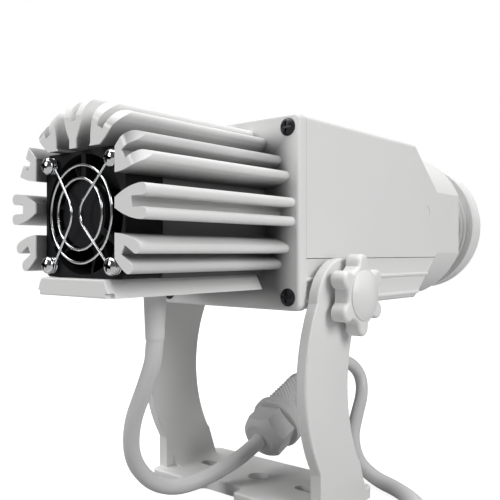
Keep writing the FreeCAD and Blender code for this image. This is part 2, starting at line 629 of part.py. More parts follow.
def bottom_cover_screws():
    screw = pan_head_screw(2.8, 1.8, 1.2, 22.0)
    return Part.makeCompound([aimed(screw, V(x, y, BOTTOM_Z + 1.88), V(0, 0, -1))
                              for x, y in COVER_SCREWS])


def flange_screws():
    screw = pan_head_screw(3.25, 1.5, 1.45, 12.5)
    return Part.makeCompound([aimed(screw, V(x, FLANGE_REAR_Y - 0.02, z), V(0, -1, 0))
                              for x, z in FLANGE_SCREWS])


def focus_lock_screw():
    """Flush socket screw in the side that holds the focus tube once it is set."""
    return cyl_x(2.93, TUBE_R + 0.4, BODY_HALF - 0.12, LOCK_Y, LOCK_Z)


def led_board():
    disc = cyl_y(17.0, PEDESTAL_FRONT_Y + 0.02, PEDESTAL_FRONT_Y + 1.6)
    return cut_all(disc, [cyl_y(1.6, PEDESTAL_FRONT_Y - 1, PEDESTAL_FRONT_Y + 3, x, z)
                          for x, z in LED_SCREWS])


def led_chip():
    """Light source: a square carrier with a round phosphor field."""
    y = PEDESTAL_FRONT_Y + 1.62
    return box(-6.5, 6.5, y, y + 0.9, AXIS_Z - 6.5, AXIS_Z + 6.5).fuse(cyl_y(4.6, y + 0.5, y + 1.3))


def led_board_screws():
    screw = pan_head_screw(1.9, 1.2, 0.95, 7.0)
    return Part.makeCompound([aimed(screw, V(x, PEDESTAL_FRONT_Y + 1.62, z), V(0, 1, 0))
                              for x, z in LED_SCREWS])


HOLDER_REAR_Y = PEDESTAL_FRONT_Y + 0.02
HOLDER_FRONT_Y = 40.0
HOLDER_R = 20.6


def condenser_holder():
    """Tube that stands on the LED pedestal and carries both condenser lenses."""
    tube = tube_y(HOLDER_R, 18.6, HOLDER_REAR_Y, HOLDER_FRONT_Y)
    ledges = [tube_y(18.8, 15.6, y, y + 1.5) for y in (1.0, 18.0)]
    return fuse_all([tube] + ledges)


def plano_convex(radius, edge_y, thick, bulge):
    """Lens with a flat rear face and a domed front."""
    curve = (radius ** 2 + bulge ** 2) / (2 * bulge)
    ball = Part.makeSphere(curve, V(0, edge_y + thick + bulge - curve, AXIS_Z))
    return cyl_y(radius, edge_y, edge_y + thick + bulge).common(ball)


def condenser_lens_rear():
    return plano_convex(18.4, 2.55, 2.0, 8.0)


def condenser_lens_front():
    return plano_convex(18.4, 19.55, 2.0, 6.5)


def gobo_holder():
    """Cup that slips over the condenser tube and holds the pattern disc."""
    sleeve = tube_y(23.0, HOLDER_R + 0.1, HOLDER_FRONT_Y - 8, HOLDER_FRONT_Y + 0.1)
    face = tube_y(23.0, 14.0, HOLDER_FRONT_Y + 0.05, HOLDER_FRONT_Y + 1.6)
    rim = tube_y(23.0, 18.9, HOLDER_FRONT_Y + 1.5, HOLDER_FRONT_Y + 5.0)
    return fuse_all([sleeve, face, rim])


def gobo_disc():
    return cyl_y(18.75, HOLDER_FRONT_Y + 1.62, HOLDER_FRONT_Y + 2.72)


def gobo_ring():
    """Spring ring that keeps the disc in its cup, open at the bottom."""
    ring = tube_y(18.85, 16.6, HOLDER_FRONT_Y + 2.75, HOLDER_FRONT_Y + 3.75)
    return ring.cut(box(-3, 3, 0, 100, AXIS_Z - 30, AXIS_Z))


def flange_gasket():
    """Flat seal inside the joint between flange and housing."""
    half = BODY_HALF - WALL - 0.4
    frame = prism(rounded_rect_xz(half, half, 2.0, FLANGE_FRONT_Y + 0.02, AXIS_Z), V(0, 0.8, 0))
    inner = half - 6.0
    frame = frame.cut(box(-inner, inner, -30, 0, AXIS_Z - inner, AXIS_Z + inner))
    return cut_all(frame, [cyl_y(4.45, FLANGE_FRONT_Y - 1, 0, x, z) for x, z in FLANGE_SCREWS])


BOARD_Z = 81.0
BOARD_T = 1.6
BOARD_X, BOARD_Y0, BOARD_Y1 = 22.0, -2.0, 66.0
BOARD_SCREWS = [(x, y) for x in (-19.0, 19.0) for y in (2.0, 62.0)]


def driver_board():
    board = box(-BOARD_X, BOARD_X, BOARD_Y0, BOARD_Y1, BOARD_Z, BOARD_Z + BOARD_T)
    return cut_all(board, [cyl_z(1.2, 70, 90, x, y) for x, y in BOARD_SCREWS])


def driver_parts():
    """Transformer, capacitors, coil and terminal block on the driver board."""
    z = BOARD_Z + BOARD_T + 0.02
    made = [box(-6, 8, 24, 38, z, z + 4.2), box(-18, -10, 6, 16, z, z + 5.5),
            box(10, 18, 44, 56, z, z + 4.0)]
    made += [cyl(2.6, V(x, y, z + 2.62), V(x, y + 13, z + 2.62)) for x, y in ((-14, 40), (14, 8))]
    choke = Part.makeTorus(4.0, 1.9, V(-14, 28, z + 1.92))
    return Part.makeCompound(made + [choke])


def driver_screws():
    """Board screws, each with the spacer that it goes through."""
    made = []
    for x, y in BOARD_SCREWS:
        floor = BOTTOM_Z + WALL
        made.append(cyl_z(2.6, floor + 0.02, BOARD_Z - 0.02, x, y)
                    .cut(cyl_z(1.2, floor - 1, BOARD_Z + 1, x, y)))
        screw = pan_head_screw(2.1, 1.3, 1.05, 4.4)
        made.append(aimed(screw, V(x, y, BOARD_Z + BOARD_T + 0.02), V(0, 0, 1)))
    return Part.makeCompound(made)


# ---- focus tube ---------------------------------------------------------------------
SEAL_Y = 112.0
SEAL_HALF = 1.1
SEAL_FLOOR_R = 30.0
TUBE_NECK_R = 31.0
TUBE_NECK_END_Y = 147.9


def focus_tube():
    """Lens tube with coarse rounded thread ridges, necked down for its front ring."""
    solid = cyl_y(TUBE_R, TUBE_REAR_Y, RING_REAR_Y)
    solid = solid.fuse(cyl_y(TUBE_NECK_R, RING_REAR_Y - 1, TUBE_NECK_END_Y))
    solid = cut_all(solid, [cyl_y(25.5, TUBE_REAR_Y - 1, TUBE_REAR_Y + 3.5),
                            cyl_y(TUBE_BORE_R, TUBE_REAR_Y + 3, TUBE_NECK_END_Y + 1)])
    grooves = []
    ridges = int((RING_REAR_Y - SEAL_Y - 6) / THREAD_PITCH)
    for i in range(ridges + 1):
        y = RING_REAR_Y - 1.4 - i * THREAD_PITCH
        cutter = Part.makeTorus(TUBE_R + 0.55, 1.25, V(0, y, AXIS_Z), V(0, 1, 0))
        grooves.append(cutter)
    seal_groove = tube_y(TUBE_R + 1, SEAL_FLOOR_R, SEAL_Y - SEAL_HALF - 0.3, SEAL_Y + SEAL_HALF + 0.3)
    return cut_all(solid, grooves + [seal_groove])


def focus_seal():
    """Square rubber ring in the tube's groove: it slides with the tube and seals it."""
    return tube_y(BORE_R - 0.08, SEAL_FLOOR_R + 0.08, SEAL_Y - SEAL_HALF, SEAL_Y + SEAL_HALF)


def lens_ring():
    """Front bezel with fine grip ridges round it."""
    outer = cyl_y(RING_R, RING_REAR_Y + 0.02, RING_FRONT_Y)
    outer = outer.makeFillet(0.9, edges_at_y(outer, RING_FRONT_Y))
    solid = outer.cut(cyl_y(TUBE_NECK_R + 0.02, RING_REAR_Y - 1, TUBE_NECK_END_Y + 0.4))
    mouth = Part.makeCone(26.4, 29.6, 3.3, V(0, RING_FRONT_Y - 3.2, AXIS_Z), V(0, 1, 0))
    grooves = [Part.makeTorus(RING_R + 0.25, 0.6, V(0, RING_REAR_Y + 5.2 + i * 1.6, AXIS_Z),
                              V(0, 1, 0)) for i in range(4)]
    return cut_all(solid, [cyl_y(26.4, RING_REAR_Y, RING_FRONT_Y + 1), mouth] + grooves)


def rear_lens():
    return plano_convex(TUBE_BORE_R - 0.2, TUBE_REAR_Y + 3.55, 2.0, 3.4)


def lens_spacer():
    start = TUBE_REAR_Y + 3.55 + 2.0
    return tube_y(TUBE_BORE_R - 0.15, 27.9, start + 0.5, 137.0)


def front_lens():
    return plano_convex(TUBE_BORE_R - 0.2, 137.05, 2.4, 4.6)


def front_retainer():
    return tube_y(TUBE_BORE_R - 0.1, 27.6, 140.6, TUBE_NECK_END_Y)


# ---- tilt studs and knobs -------------------------------------------------------------
def pivot_boss():
    """Friction collar between the cover's pad and the arm."""
    return cyl_x(PIVOT_PAD_R, COVER_HALF + PAD_HIGH + 0.02, ARM_IN_X - 0.2).cut(
        cyl_x(STUD_R + 0.02, 30, 40))


def tilt_stud():
    """Stud with a square plate inside the cover; the knob screws onto its outer end."""
    inner = BODY_HALF - WALL - 0.3
    plate = box(inner - 2.6, inner - 0.02, -5.5, 5.5, BOTTOM_Z + WALL + 0.1, BOTTOM_Z + WALL + 10)
    return plate.fuse(cyl_x(STUD_R, inner - 0.1, KNOB_FACE_X - 1.2)).removeSplitter()


def clamp_washer():
    return cyl_x(6.8, ARM_OUT_X + 0.05, KNOB_NECK_X - 0.1).cut(cyl_x(STUD_R + 0.08, 40, 50))


def star_outline(x):
    """Six lobes joined by hollows, all arcs meeting smoothly, with a lobe on top."""
    lobe_r, valley = 3.2, 10.7
    lobe_c = KNOB_R - lobe_r
    cos30 = math.cos(math.pi / 6)
    hollow_r = ((valley ** 2 + lobe_c ** 2 - 2 * lobe_c * cos30 * valley - lobe_r ** 2)
                / (2 * (lobe_r - valley + lobe_c * cos30)))
    hollow_c = valley + hollow_r
    share = lobe_r / (lobe_r + hollow_r)

    def at(radius, angle):
        return V(x, radius * math.sin(angle), PIVOT_Z + radius * math.cos(angle))

    edges, step = [], math.pi / 3
    for i in range(6):
        a = i * step
        centre = at(lobe_c, a)
        left = centre + (at(hollow_c, a - step / 2) - centre) * share
        right = centre + (at(hollow_c, a + step / 2) - centre) * share
        nxt = at(lobe_c, a + step)
        after = nxt + (at(hollow_c, a + step / 2) - nxt) * share
        edges += [arc(left, at(KNOB_R, a), right), arc(right, at(valley, a + step / 2), after)]
    return edges


def tilt_knob():
    """Star knob with a blind hole for the stud and a recess for its cap."""
    star = prism(star_outline(KNOB_BASE_X), V(KNOB_FACE_X - KNOB_BASE_X, 0, 0))
    star = star.makeFillet(1.9, [e for e in star.Edges if e.BoundBox.XMin > KNOB_FACE_X - 0.01])
    star = star.makeFillet(0.6, [e for e in star.Edges if e.BoundBox.XMax < KNOB_BASE_X + 0.01])
    solid = star.fuse(cyl_x(7.0, KNOB_NECK_X, KNOB_BASE_X + 1))
    solid = cut_all(solid, [cyl_x(STUD_R + 0.06, KNOB_NECK_X - 1, KNOB_FACE_X - 1.0),
                            tube_x_groove(), cyl_x(9.3, KNOB_FACE_X - 0.6, KNOB_FACE_X + 1)])
    return solid.removeSplitter()


def tube_x_groove():
    """Fine shadow line round the cap."""
    return cyl_x(9.9, KNOB_FACE_X - 0.45, KNOB_FACE_X + 1).cut(cyl_x(9.2, 40, 60))


def knob_cap():
    """Domed cap over the knob's centre."""
    bulge, radius = 2.6, 9.2
    curve = (radius ** 2 + bulge ** 2) / (2 * bulge)
    x = KNOB_FACE_X + 0.3
    ball = Part.makeSphere(curve, V(x + bulge - curve, 0, PIVOT_Z))
    return cyl_x(radius, KNOB_FACE_X - 0.58, x + bulge).common(ball)


# ---- connector, cables, coil and plug --------------------------------------------------
CONNECTOR_AXIS = V(0, math.cos(math.radians(CONNECTOR_RISE_DEG)),
                   math.sin(math.radians(CONNECTOR_RISE_DEG)))


def connector_piece(shape):
    """A shape made from the origin along +Z, put on the connector's sloping axis."""
    made = shape.copy()
    turn = FreeCAD.Rotation(V(1, 0, 0), CONNECTOR_RISE_DEG - 90)
    made.Placement = FreeCAD.Placement(CONNECTOR_START, turn)
    return made


def hexagon(across_flats, z0, z1):
    radius = across_flats / math.sqrt(3)
    points = [V(radius * math.cos(a), radius * math.sin(a), z0)
              for a in (math.radians(60 * i) for i in range(6))]
    return polygon(points, V(0, 0, z1 - z0))


def gland_nut(z0, z1, dome_at_low_end):
    """Hexagon nut with a rounded end that squeezes the cable."""
    nut = hexagon(17.5, z0, z1)
    long, radius = z1 - z0, 10.4
    centre = z1 - 1.0 if dome_at_low_end else z0 + 1.0
    reach = math.hypot(long - 1.0, 6.6)
    ball = Part.makeSphere(reach, V(0, 0, centre))
    return nut.common(ball).common(cyl_z(radius, z0, z1, 0, 0))


def connector_gland_nut():
    nut = gland_nut(0.0, 11.5, True)
    return connector_piece(nut.cut(cyl_z(CABLE_D / 2 + 0.02, -1, 12, 0, 0)))


def connector_socket():
    """Fixed half: a collar behind the nut and a body that goes into the sleeve."""
    collar = cyl_z(11.3, 11.52, 15.2, 0, 0)
    collar = collar.makeFillet(0.7, [e for e in collar.Edges if e.Closed])
    return connector_piece(collar.fuse(cyl_z(8.2, 15, 33, 0, 0)).removeSplitter())


def coupling_sleeve():
    """Ring that draws the halves together, grooved round for grip."""
    sleeve = cyl_z(10.3, 15.25, 37, 0, 0)
    sleeve = sleeve.makeFillet(0.8, [e for e in sleeve.Edges if e.Closed])
    flutes = [cyl_z(0.45, 18, 34.5, 10.55 * math.cos(a), 10.55 * math.sin(a))
              for a in (math.radians(15 * i) for i in range(24))]
    return connector_piece(cut_all(sleeve, [cyl_z(8.25, 15, 33.02, 0, 0),
                                            cyl_z(7.9, 33, 38, 0, 0)] + flutes))


def connector_plug():
    """Loose half, stepped down towards its own nut."""
    body = fuse_all([cyl_z(7.85, 33.05, 41, 0, 0), cyl_z(9.3, 37.3, 42.5, 0, 0)])
    return connector_piece(body.fuse(cyl_z(8.3, 42, 45.5, 0, 0)).removeSplitter())


def connector_end_nut():
    nut = gland_nut(45.52, CONNECTOR_LONG, False)
    return connector_piece(nut.cut(cyl_z(CABLE_D / 2 + 0.02, 45, CONNECTOR_LONG + 1, 0, 0)))


def supply_coil():
    """Outer shape of the cable's neat coil."""
    wide, high = COIL_COLUMNS * CABLE_D / 2, COIL_ROWS * CABLE_D
    outer = cyl_z(COIL_MEAN_R + wide, 0, high, COIL_CENTRE.x, COIL_CENTRE.y)
    return outer.cut(cyl_z(COIL_MEAN_R - wide, -1, high + 1, COIL_CENTRE.x, COIL_CENTRE.y))


def plug_body():
    """Slim two-pin plug lying flat, its cable end towards the coil."""
    x1, y, z = TAIL_ROUTE[-1]
    x0 = x1 - PLUG_LONG
    half_wide = 13.2
    points = [V(x1, y - 5, 0.2), V(x1, y + 5, 0.2), V(x1 - 12, y + half_wide, 0.2),
              V(x0, y + half_wide, 0.2), V(x0, y - half_wide, 0.2), V(x1 - 12, y - half_wide, 0.2)]
    body = polygon(points, V(0, 0, 2 * z - 0.4))
    return body.makeFillet(1.6, body.Edges)


def plug_pins():
    x1, y, z = TAIL_ROUTE[-1]
    x0 = x1 - PLUG_LONG
    made = []
    for side in (-1, 1):
        pin = cyl_x(2.0, x0 - 19, x0 - 0.02, y + side * 9.3, z)
        made.append(pin.makeFillet(1.2, [e for e in pin.Edges if e.BoundBox.XMax < x0 - 18.9]))
    return Part.makeCompound(made)


def coil_tie():
    """Strap round one side of the coil."""
    wide, high = COIL_COLUMNS * CABLE_D / 2, COIL_ROWS * CABLE_D
    x, y0 = COIL_CENTRE.x, COIL_CENTRE.y + COIL_MEAN_R
    outer = box(x - 3, x + 3, y0 - wide - 1.2, y0 + wide + 1.2, 0, high + 1.2)
    hole = box(x - 4, x + 4, y0 - wide - 0.35, y0 + wide + 0.1, -0.1, high + 0.05)
    return outer.cut(hole)


def main():
    os.makedirs("parts", exist_ok=True)
    for build in (yoke, heat_sink, duct_cover, duct_screws, cable_gland, fan_frame, fan_motor,
                  fan_rotor, fan_shaft, fan_guard, fan_screws, housing, bottom_cover,
                  bottom_cover_screws, flange_screws, focus_lock_screw, led_board, led_chip,
                  led_board_screws, condenser_holder, condenser_lens_rear,
                  condenser_lens_front, gobo_holder, gobo_disc, gobo_ring, flange_gasket,
                  driver_board, driver_parts, driver_screws, focus_tube, focus_seal,
                  lens_ring, rear_lens, lens_spacer, front_lens, front_retainer,
                  connector_gland_nut, connector_socket, coupling_sleeve, connector_plug,
                  connector_end_nut, supply_coil, coil_tie, plug_body, plug_pins):
        save(build.__name__, build())
    for build in (pivot_boss, tilt_stud, clamp_washer, tilt_knob, knob_cap):
        right = build()
        save(build.__name__ + "_right", right)
        save(build.__name__ + "_left", mirror_x(right))
    save("lead_cable", cable("lead_cable", LEAD_ROUTE))
    save("supply_cable", cable("supply_cable", SUPPLY_ROUTE))
    save("supply_tail", cable("supply_tail", TAIL_ROUTE))


main()
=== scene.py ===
# %% [markdown]
# # A white LED profile spotlight
# This lesson dresses a finished mechanical model in Blender. The castings, the fan housing,
# the lenses and the fasteners arrive as fixed parts, already the right size and in the right
# place. What is added here is everything that the eye judges: powder coat, moulded plastic,
# turned metal and glass, a proper fan rotor, a knurled coupling, a real screw thread, and
# cables that lie the way cables do.
#
# All lengths are metres. Profiles and cable routes are easier to think of in millimetres, so
# they are written that way and multiplied by MM.

import json
import math

import bmesh
import bpy
from mathutils import Matrix, Vector


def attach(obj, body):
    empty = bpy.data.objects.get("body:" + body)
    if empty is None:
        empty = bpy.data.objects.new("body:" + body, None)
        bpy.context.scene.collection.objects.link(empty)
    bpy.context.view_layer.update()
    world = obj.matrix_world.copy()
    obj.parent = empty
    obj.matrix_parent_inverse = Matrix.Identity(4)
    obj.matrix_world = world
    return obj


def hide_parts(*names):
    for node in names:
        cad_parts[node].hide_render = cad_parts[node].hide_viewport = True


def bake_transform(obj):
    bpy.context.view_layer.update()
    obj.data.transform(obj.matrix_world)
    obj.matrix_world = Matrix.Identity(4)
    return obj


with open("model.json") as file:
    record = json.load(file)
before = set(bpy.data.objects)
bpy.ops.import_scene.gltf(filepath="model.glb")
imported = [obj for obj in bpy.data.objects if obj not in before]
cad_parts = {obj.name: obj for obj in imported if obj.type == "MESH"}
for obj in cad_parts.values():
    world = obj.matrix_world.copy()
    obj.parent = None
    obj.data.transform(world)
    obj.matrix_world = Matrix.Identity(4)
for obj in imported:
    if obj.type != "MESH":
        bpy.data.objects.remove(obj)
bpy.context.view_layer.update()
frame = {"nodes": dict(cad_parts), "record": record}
MM = 0.001


# %% [markdown]
# ## Camera
# A product picture is taken level with the object, so upright edges stay upright. Tilting the
# camera down would show more of the top, but the arms would lean. The lamp is seen from
# behind and from its right side, and the lens is shifted a little to frame it.

# %% Place the camera level with the fan
CAMERA_PLACE = Vector((0.17385, -0.21722, 0.09603))
CAMERA_TURN = math.radians(40.19)
PIVOT_Z = 0.0805

camera_data = bpy.data.cameras.new("product_camera")
camera_data.sensor_width = 36.0
camera_data.lens = 48.85
camera_data.shift_x = 0.020
camera_data.shift_y = 0.0052
camera_data.clip_start = 0.01
camera = bpy.data.objects.new("product_camera", camera_data)
camera.location = CAMERA_PLACE
camera.rotation_euler = (math.pi / 2, 0.0, CAMERA_TURN)
bpy.context.scene.collection.objects.link(camera)
bpy.context.scene.camera = camera
print("camera distance to the tilt axis:", round((CAMERA_PLACE - Vector((0, 0, PIVOT_Z))).length, 3))


# %% [markdown]
# ## Floor
# The lamp stands on endless white paper. A white floor would throw so much light up that the
# undersides lose their shadow, and a grey one would look grey. So the paper is a middle grey
# that glows, and a Light Path node lets the glow be seen by the camera alone.

# %% Lay the paper
FLOOR_GREY, FLOOR_GLOW = 0.33, 0.9


def select_none():
    """Start every modelling step with nothing selected."""
    if bpy.context.object and bpy.context.object.mode != "OBJECT":
        bpy.ops.object.mode_set(mode="OBJECT")
    bpy.ops.object.select_all(action="DESELECT")


select_none()
bpy.ops.mesh.primitive_plane_add(size=3.2, location=(0, 0, -0.0003))
floor = bpy.context.object
floor.name = "studio_floor"
bpy.ops.object.transform_apply(location=True, rotation=True, scale=True)
floor_paper = bpy.data.materials.new("pale_paper")
floor_paper.use_nodes = True
paper_nodes, paper_links = floor_paper.node_tree.nodes, floor_paper.node_tree.links
paper_shader = paper_nodes["Principled BSDF"]
paper_shader.inputs["Base Color"].default_value = (FLOOR_GREY, FLOOR_GREY, FLOOR_GREY, 1)
paper_shader.inputs["Roughness"].default_value = 0.9
paper_shader.inputs["Emission Color"].default_value = (1, 1, 1, 1)
first_look = paper_nodes.new("ShaderNodeLightPath")
glow = paper_nodes.new("ShaderNodeMath")
glow.operation = "MULTIPLY"
glow.inputs[1].default_value = FLOOR_GLOW
paper_links.new(first_look.outputs["Is Camera Ray"], glow.inputs[0])
paper_links.new(glow.outputs[0], paper_shader.inputs["Emission Strength"])
floor.data.materials.append(floor_paper)
print("floor:", tuple(round(side, 2) for side in floor.dimensions))


# %% [markdown]
# ## Lamps
# White objects need contrast from light, not from colour. Small lamps would draw hard edged
# shadows of every fin, so all three are large squares. The one above keeps the tops bright
# and lets the sides fall to a soft grey, the one on the right opens the broad side, and the
# weak one on the left opens the rear faces.

# %% Hang three soft lamps
def soft_lamp(name, place, aim, size, watts):
    """A square area lamp that points from place to aim."""
    data = bpy.data.lights.new(name, "AREA")
    data.size = size
    data.energy = watts
    lamp = bpy.data.objects.new(name, data)
    lamp.location = place
    lamp.rotation_euler = (Vector(aim) - Vector(place)).to_track_quat("-Z", "Y").to_euler()
    bpy.context.scene.collection.objects.link(lamp)


soft_lamp("top_softbox", (-0.4, -0.1, 2.2), (0, 0, 0.08), 2.4, 78.0)
soft_lamp("rear_fill", (-0.7, -1.5, 0.7), (0, 0, 0.1), 0.7, 9.0)
soft_lamp("side_fill", (1.4, -0.1, 0.8), (0, 0, 0.1), 0.8, 15.5)


# %% [markdown]
# ## Backdrop
# The world behind is the same trick as the paper: full white where the camera looks straight
# at it, and nearly black as a source of light, or it would wash out every shadow.

# %% Paint the backdrop
SKY_LIGHT, SKY_SEEN = 0.08, 1.0
sky = bpy.data.worlds.new("studio_white")
sky.use_nodes = True
sky_nodes, sky_links = sky.node_tree.nodes, sky.node_tree.links
backdrop = sky_nodes["Background"]
backdrop.inputs["Color"].default_value = (1.0, 1.0, 1.0, 1)
seen = sky_nodes.new("ShaderNodeLightPath")
strength = sky_nodes.new("ShaderNodeMapRange")
strength.inputs["To Min"].default_value = SKY_LIGHT
strength.inputs["To Max"].default_value = SKY_SEEN
sky_links.new(seen.outputs["Is Camera Ray"], strength.inputs["Value"])
sky_links.new(strength.outputs["Result"], backdrop.inputs["Strength"])
bpy.context.scene.world = sky
bpy.context.scene.view_settings.view_transform = "Standard"
print("world:", sky.name)


# %% [markdown]
# ## Node groups
# An effect that several finishes share is wired once, as a node group with named sockets, and
# placed in each material with its own numbers. Copying the nodes instead would work too, but
# a change would then have to be made in every copy. These two helpers keep the wiring short.

# %% Helpers for wiring
def add_sockets(group, inputs, outputs):
    """Name a group's sockets, each input with its usual value."""
    for name, kind, value in inputs:
        socket = group.interface.new_socket(name, in_out="INPUT", socket_type=kind)
        socket.default_value = value
    for name, kind in outputs:
        group.interface.new_socket(name, in_out="OUTPUT", socket_type=kind)


def math_node(nodes, operation, second=None):
    """A Math node, with its second value if that is a constant."""
    step = nodes.new("ShaderNodeMath")
    step.operation = operation
    if second is not None:
        step.inputs[1].default_value = second
    return step


print("helpers:", add_sockets.__name__, math_node.__name__)


# %% [markdown]
# ## One recipe for grain
# Powder coat, moulded plastic and rubber all look flat until light catches their fine
# relief: orange peel on paint, spark-eroded texture on plastic. It could be displaced in the
# mesh, which would take millions of faces for tenths of a millimetre. A fine noise as a bump
# does it for nothing, and a second, cloudy noise changes tone and gloss very faintly.

# %% Build the grain group
def make_grain_group():
    """Fine relief as a height, with a faint change of tone and of gloss over the surface."""
    group = bpy.data.node_groups.new("surface_grain", "ShaderNodeTree")
    add_sockets(group,
                [("Color", "NodeSocketColor", (0.8, 0.8, 0.8, 1)),
                 ("Grain per Metre", "NodeSocketFloat", 1500.0),
                 ("Tone Change", "NodeSocketFloat", 0.03),
                 ("Roughness", "NodeSocketFloat", 0.4),
                 ("Roughness Change", "NodeSocketFloat", 0.1)],
                [("Color", "NodeSocketColor"), ("Roughness", "NodeSocketFloat"),
                 ("Height", "NodeSocketFloat")])
    nodes, links = group.nodes, group.links
    given, out = nodes.new("NodeGroupInput"), nodes.new("NodeGroupOutput")
    place = nodes.new("ShaderNodeTexCoord")
    fine, cloudy = nodes.new("ShaderNodeTexNoise"), nodes.new("ShaderNodeTexNoise")
    fine.inputs["Detail"].default_value = 3.0
    cloudy.inputs["Scale"].default_value = 45.0
    cloudy.inputs["Detail"].default_value = 4.0
    for noise in (fine, cloudy):
        links.new(place.outputs["Object"], noise.inputs["Vector"])
    links.new(given.outputs["Grain per Metre"], fine.inputs["Scale"])
    links.new(fine.outputs["Fac"], out.inputs["Height"])

    centred = math_node(nodes, "SUBTRACT", 0.5)
    links.new(cloudy.outputs["Fac"], centred.inputs[0])
    tone = math_node(nodes, "MULTIPLY_ADD")
    links.new(centred.outputs[0], tone.inputs[0])
    links.new(given.outputs["Tone Change"], tone.inputs[1])
    tone.inputs[2].default_value = 1.0
    tinted = nodes.new("ShaderNodeVectorMath")
    tinted.operation = "SCALE"
    links.new(given.outputs["Color"], tinted.inputs[0])
    links.new(tone.outputs[0], tinted.inputs["Scale"])
    links.new(tinted.outputs["Vector"], out.inputs["Color"])

    mixed = math_node(nodes, "ADD")
    links.new(fine.outputs["Fac"], mixed.inputs[0])
    links.new(cloudy.outputs["Fac"], mixed.inputs[1])
    lowered = math_node(nodes, "SUBTRACT", 1.0)
    links.new(mixed.outputs[0], lowered.inputs[0])
    gloss = math_node(nodes, "MULTIPLY_ADD")
    links.new(lowered.outputs[0], gloss.inputs[0])
    links.new(given.outputs["Roughness Change"], gloss.inputs[1])
    links.new(given.outputs["Roughness"], gloss.inputs[2])
    links.new(gloss.outputs[0], out.inputs["Roughness"])
    return group


grain_group = make_grain_group()
print("grain group:", len(grain_group.nodes), "nodes")


# %% [markdown]
# ## One recipe for lathe marks
# Turned parts carry rings that the tool left: along the length on a round face, and around
# the middle on a flat one. Two patterns could be mixed by the face's normal. It is simpler to
# add the distance along the beam to the distance from the optical axis: that one number
# changes in the right direction on both kinds of face, and a noise along it makes the rings.

# %% Build the lathe mark group
OPTICAL_AXIS_Z = 0.1105


def make_lathe_group():
    """Rings round the optical axis as a height."""
    group = bpy.data.node_groups.new("lathe_marks", "ShaderNodeTree")
    add_sockets(group, [("Rings per Metre", "NodeSocketFloat", 3000.0)],
                [("Height", "NodeSocketFloat")])
    nodes, links = group.nodes, group.links
    given, out = nodes.new("NodeGroupInput"), nodes.new("NodeGroupOutput")
    place = nodes.new("ShaderNodeTexCoord")
    centred = nodes.new("ShaderNodeVectorMath")
    centred.operation = "SUBTRACT"
    centred.inputs[1].default_value = (0, 0, OPTICAL_AXIS_Z)
    links.new(place.outputs["Object"], centred.inputs[0])
    across = nodes.new("ShaderNodeVectorMath")
    across.operation = "MULTIPLY"
    across.inputs[1].default_value = (1, 0, 1)
    links.new(centred.outputs["Vector"], across.inputs[0])
    reach = nodes.new("ShaderNodeVectorMath")
    reach.operation = "LENGTH"
    links.new(across.outputs["Vector"], reach.inputs[0])
    split = nodes.new("ShaderNodeSeparateXYZ")
    links.new(centred.outputs["Vector"], split.inputs["Vector"])
    both = math_node(nodes, "ADD")
    links.new(split.outputs["Y"], both.inputs[0])
    links.new(reach.outputs["Value"], both.inputs[1])
    rings = nodes.new("ShaderNodeTexNoise")
    rings.noise_dimensions = "1D"
    rings.inputs["Detail"].default_value = 2.0
    links.new(both.outputs[0], rings.inputs["W"])
    links.new(given.outputs["Rings per Metre"], rings.inputs["Scale"])
    links.new(rings.outputs["Fac"], out.inputs["Height"])
    return group


lathe_group = make_lathe_group()
print("lathe group:", len(lathe_group.nodes), "nodes")


# %% [markdown]
# ## Painted shade for deep places
# Shade falls deep between the fins, and it is painted into their colour there. An ambient
# occlusion node could find the gaps, but it sends out rays from every point, which is slow.
# How deep a place lies in the star of fins is simply how near it is to the middle, measured
# on a square, because the core is square. The corner where the fins meet the flange is more
# crowded still and painted darker, and the rear ends of the fins lie open to the light and
# keep the full white.

# %% Build the recess group
FAN_CENTRE_Z = 0.108
FLANGE_REAR_Y, CROWDED_FROM_Y = -0.0215, -0.045
CROWDED_BY = 0.0035
FIN_END_Y, FIN_ENDS_FROM_Y = -0.0910, -0.0905


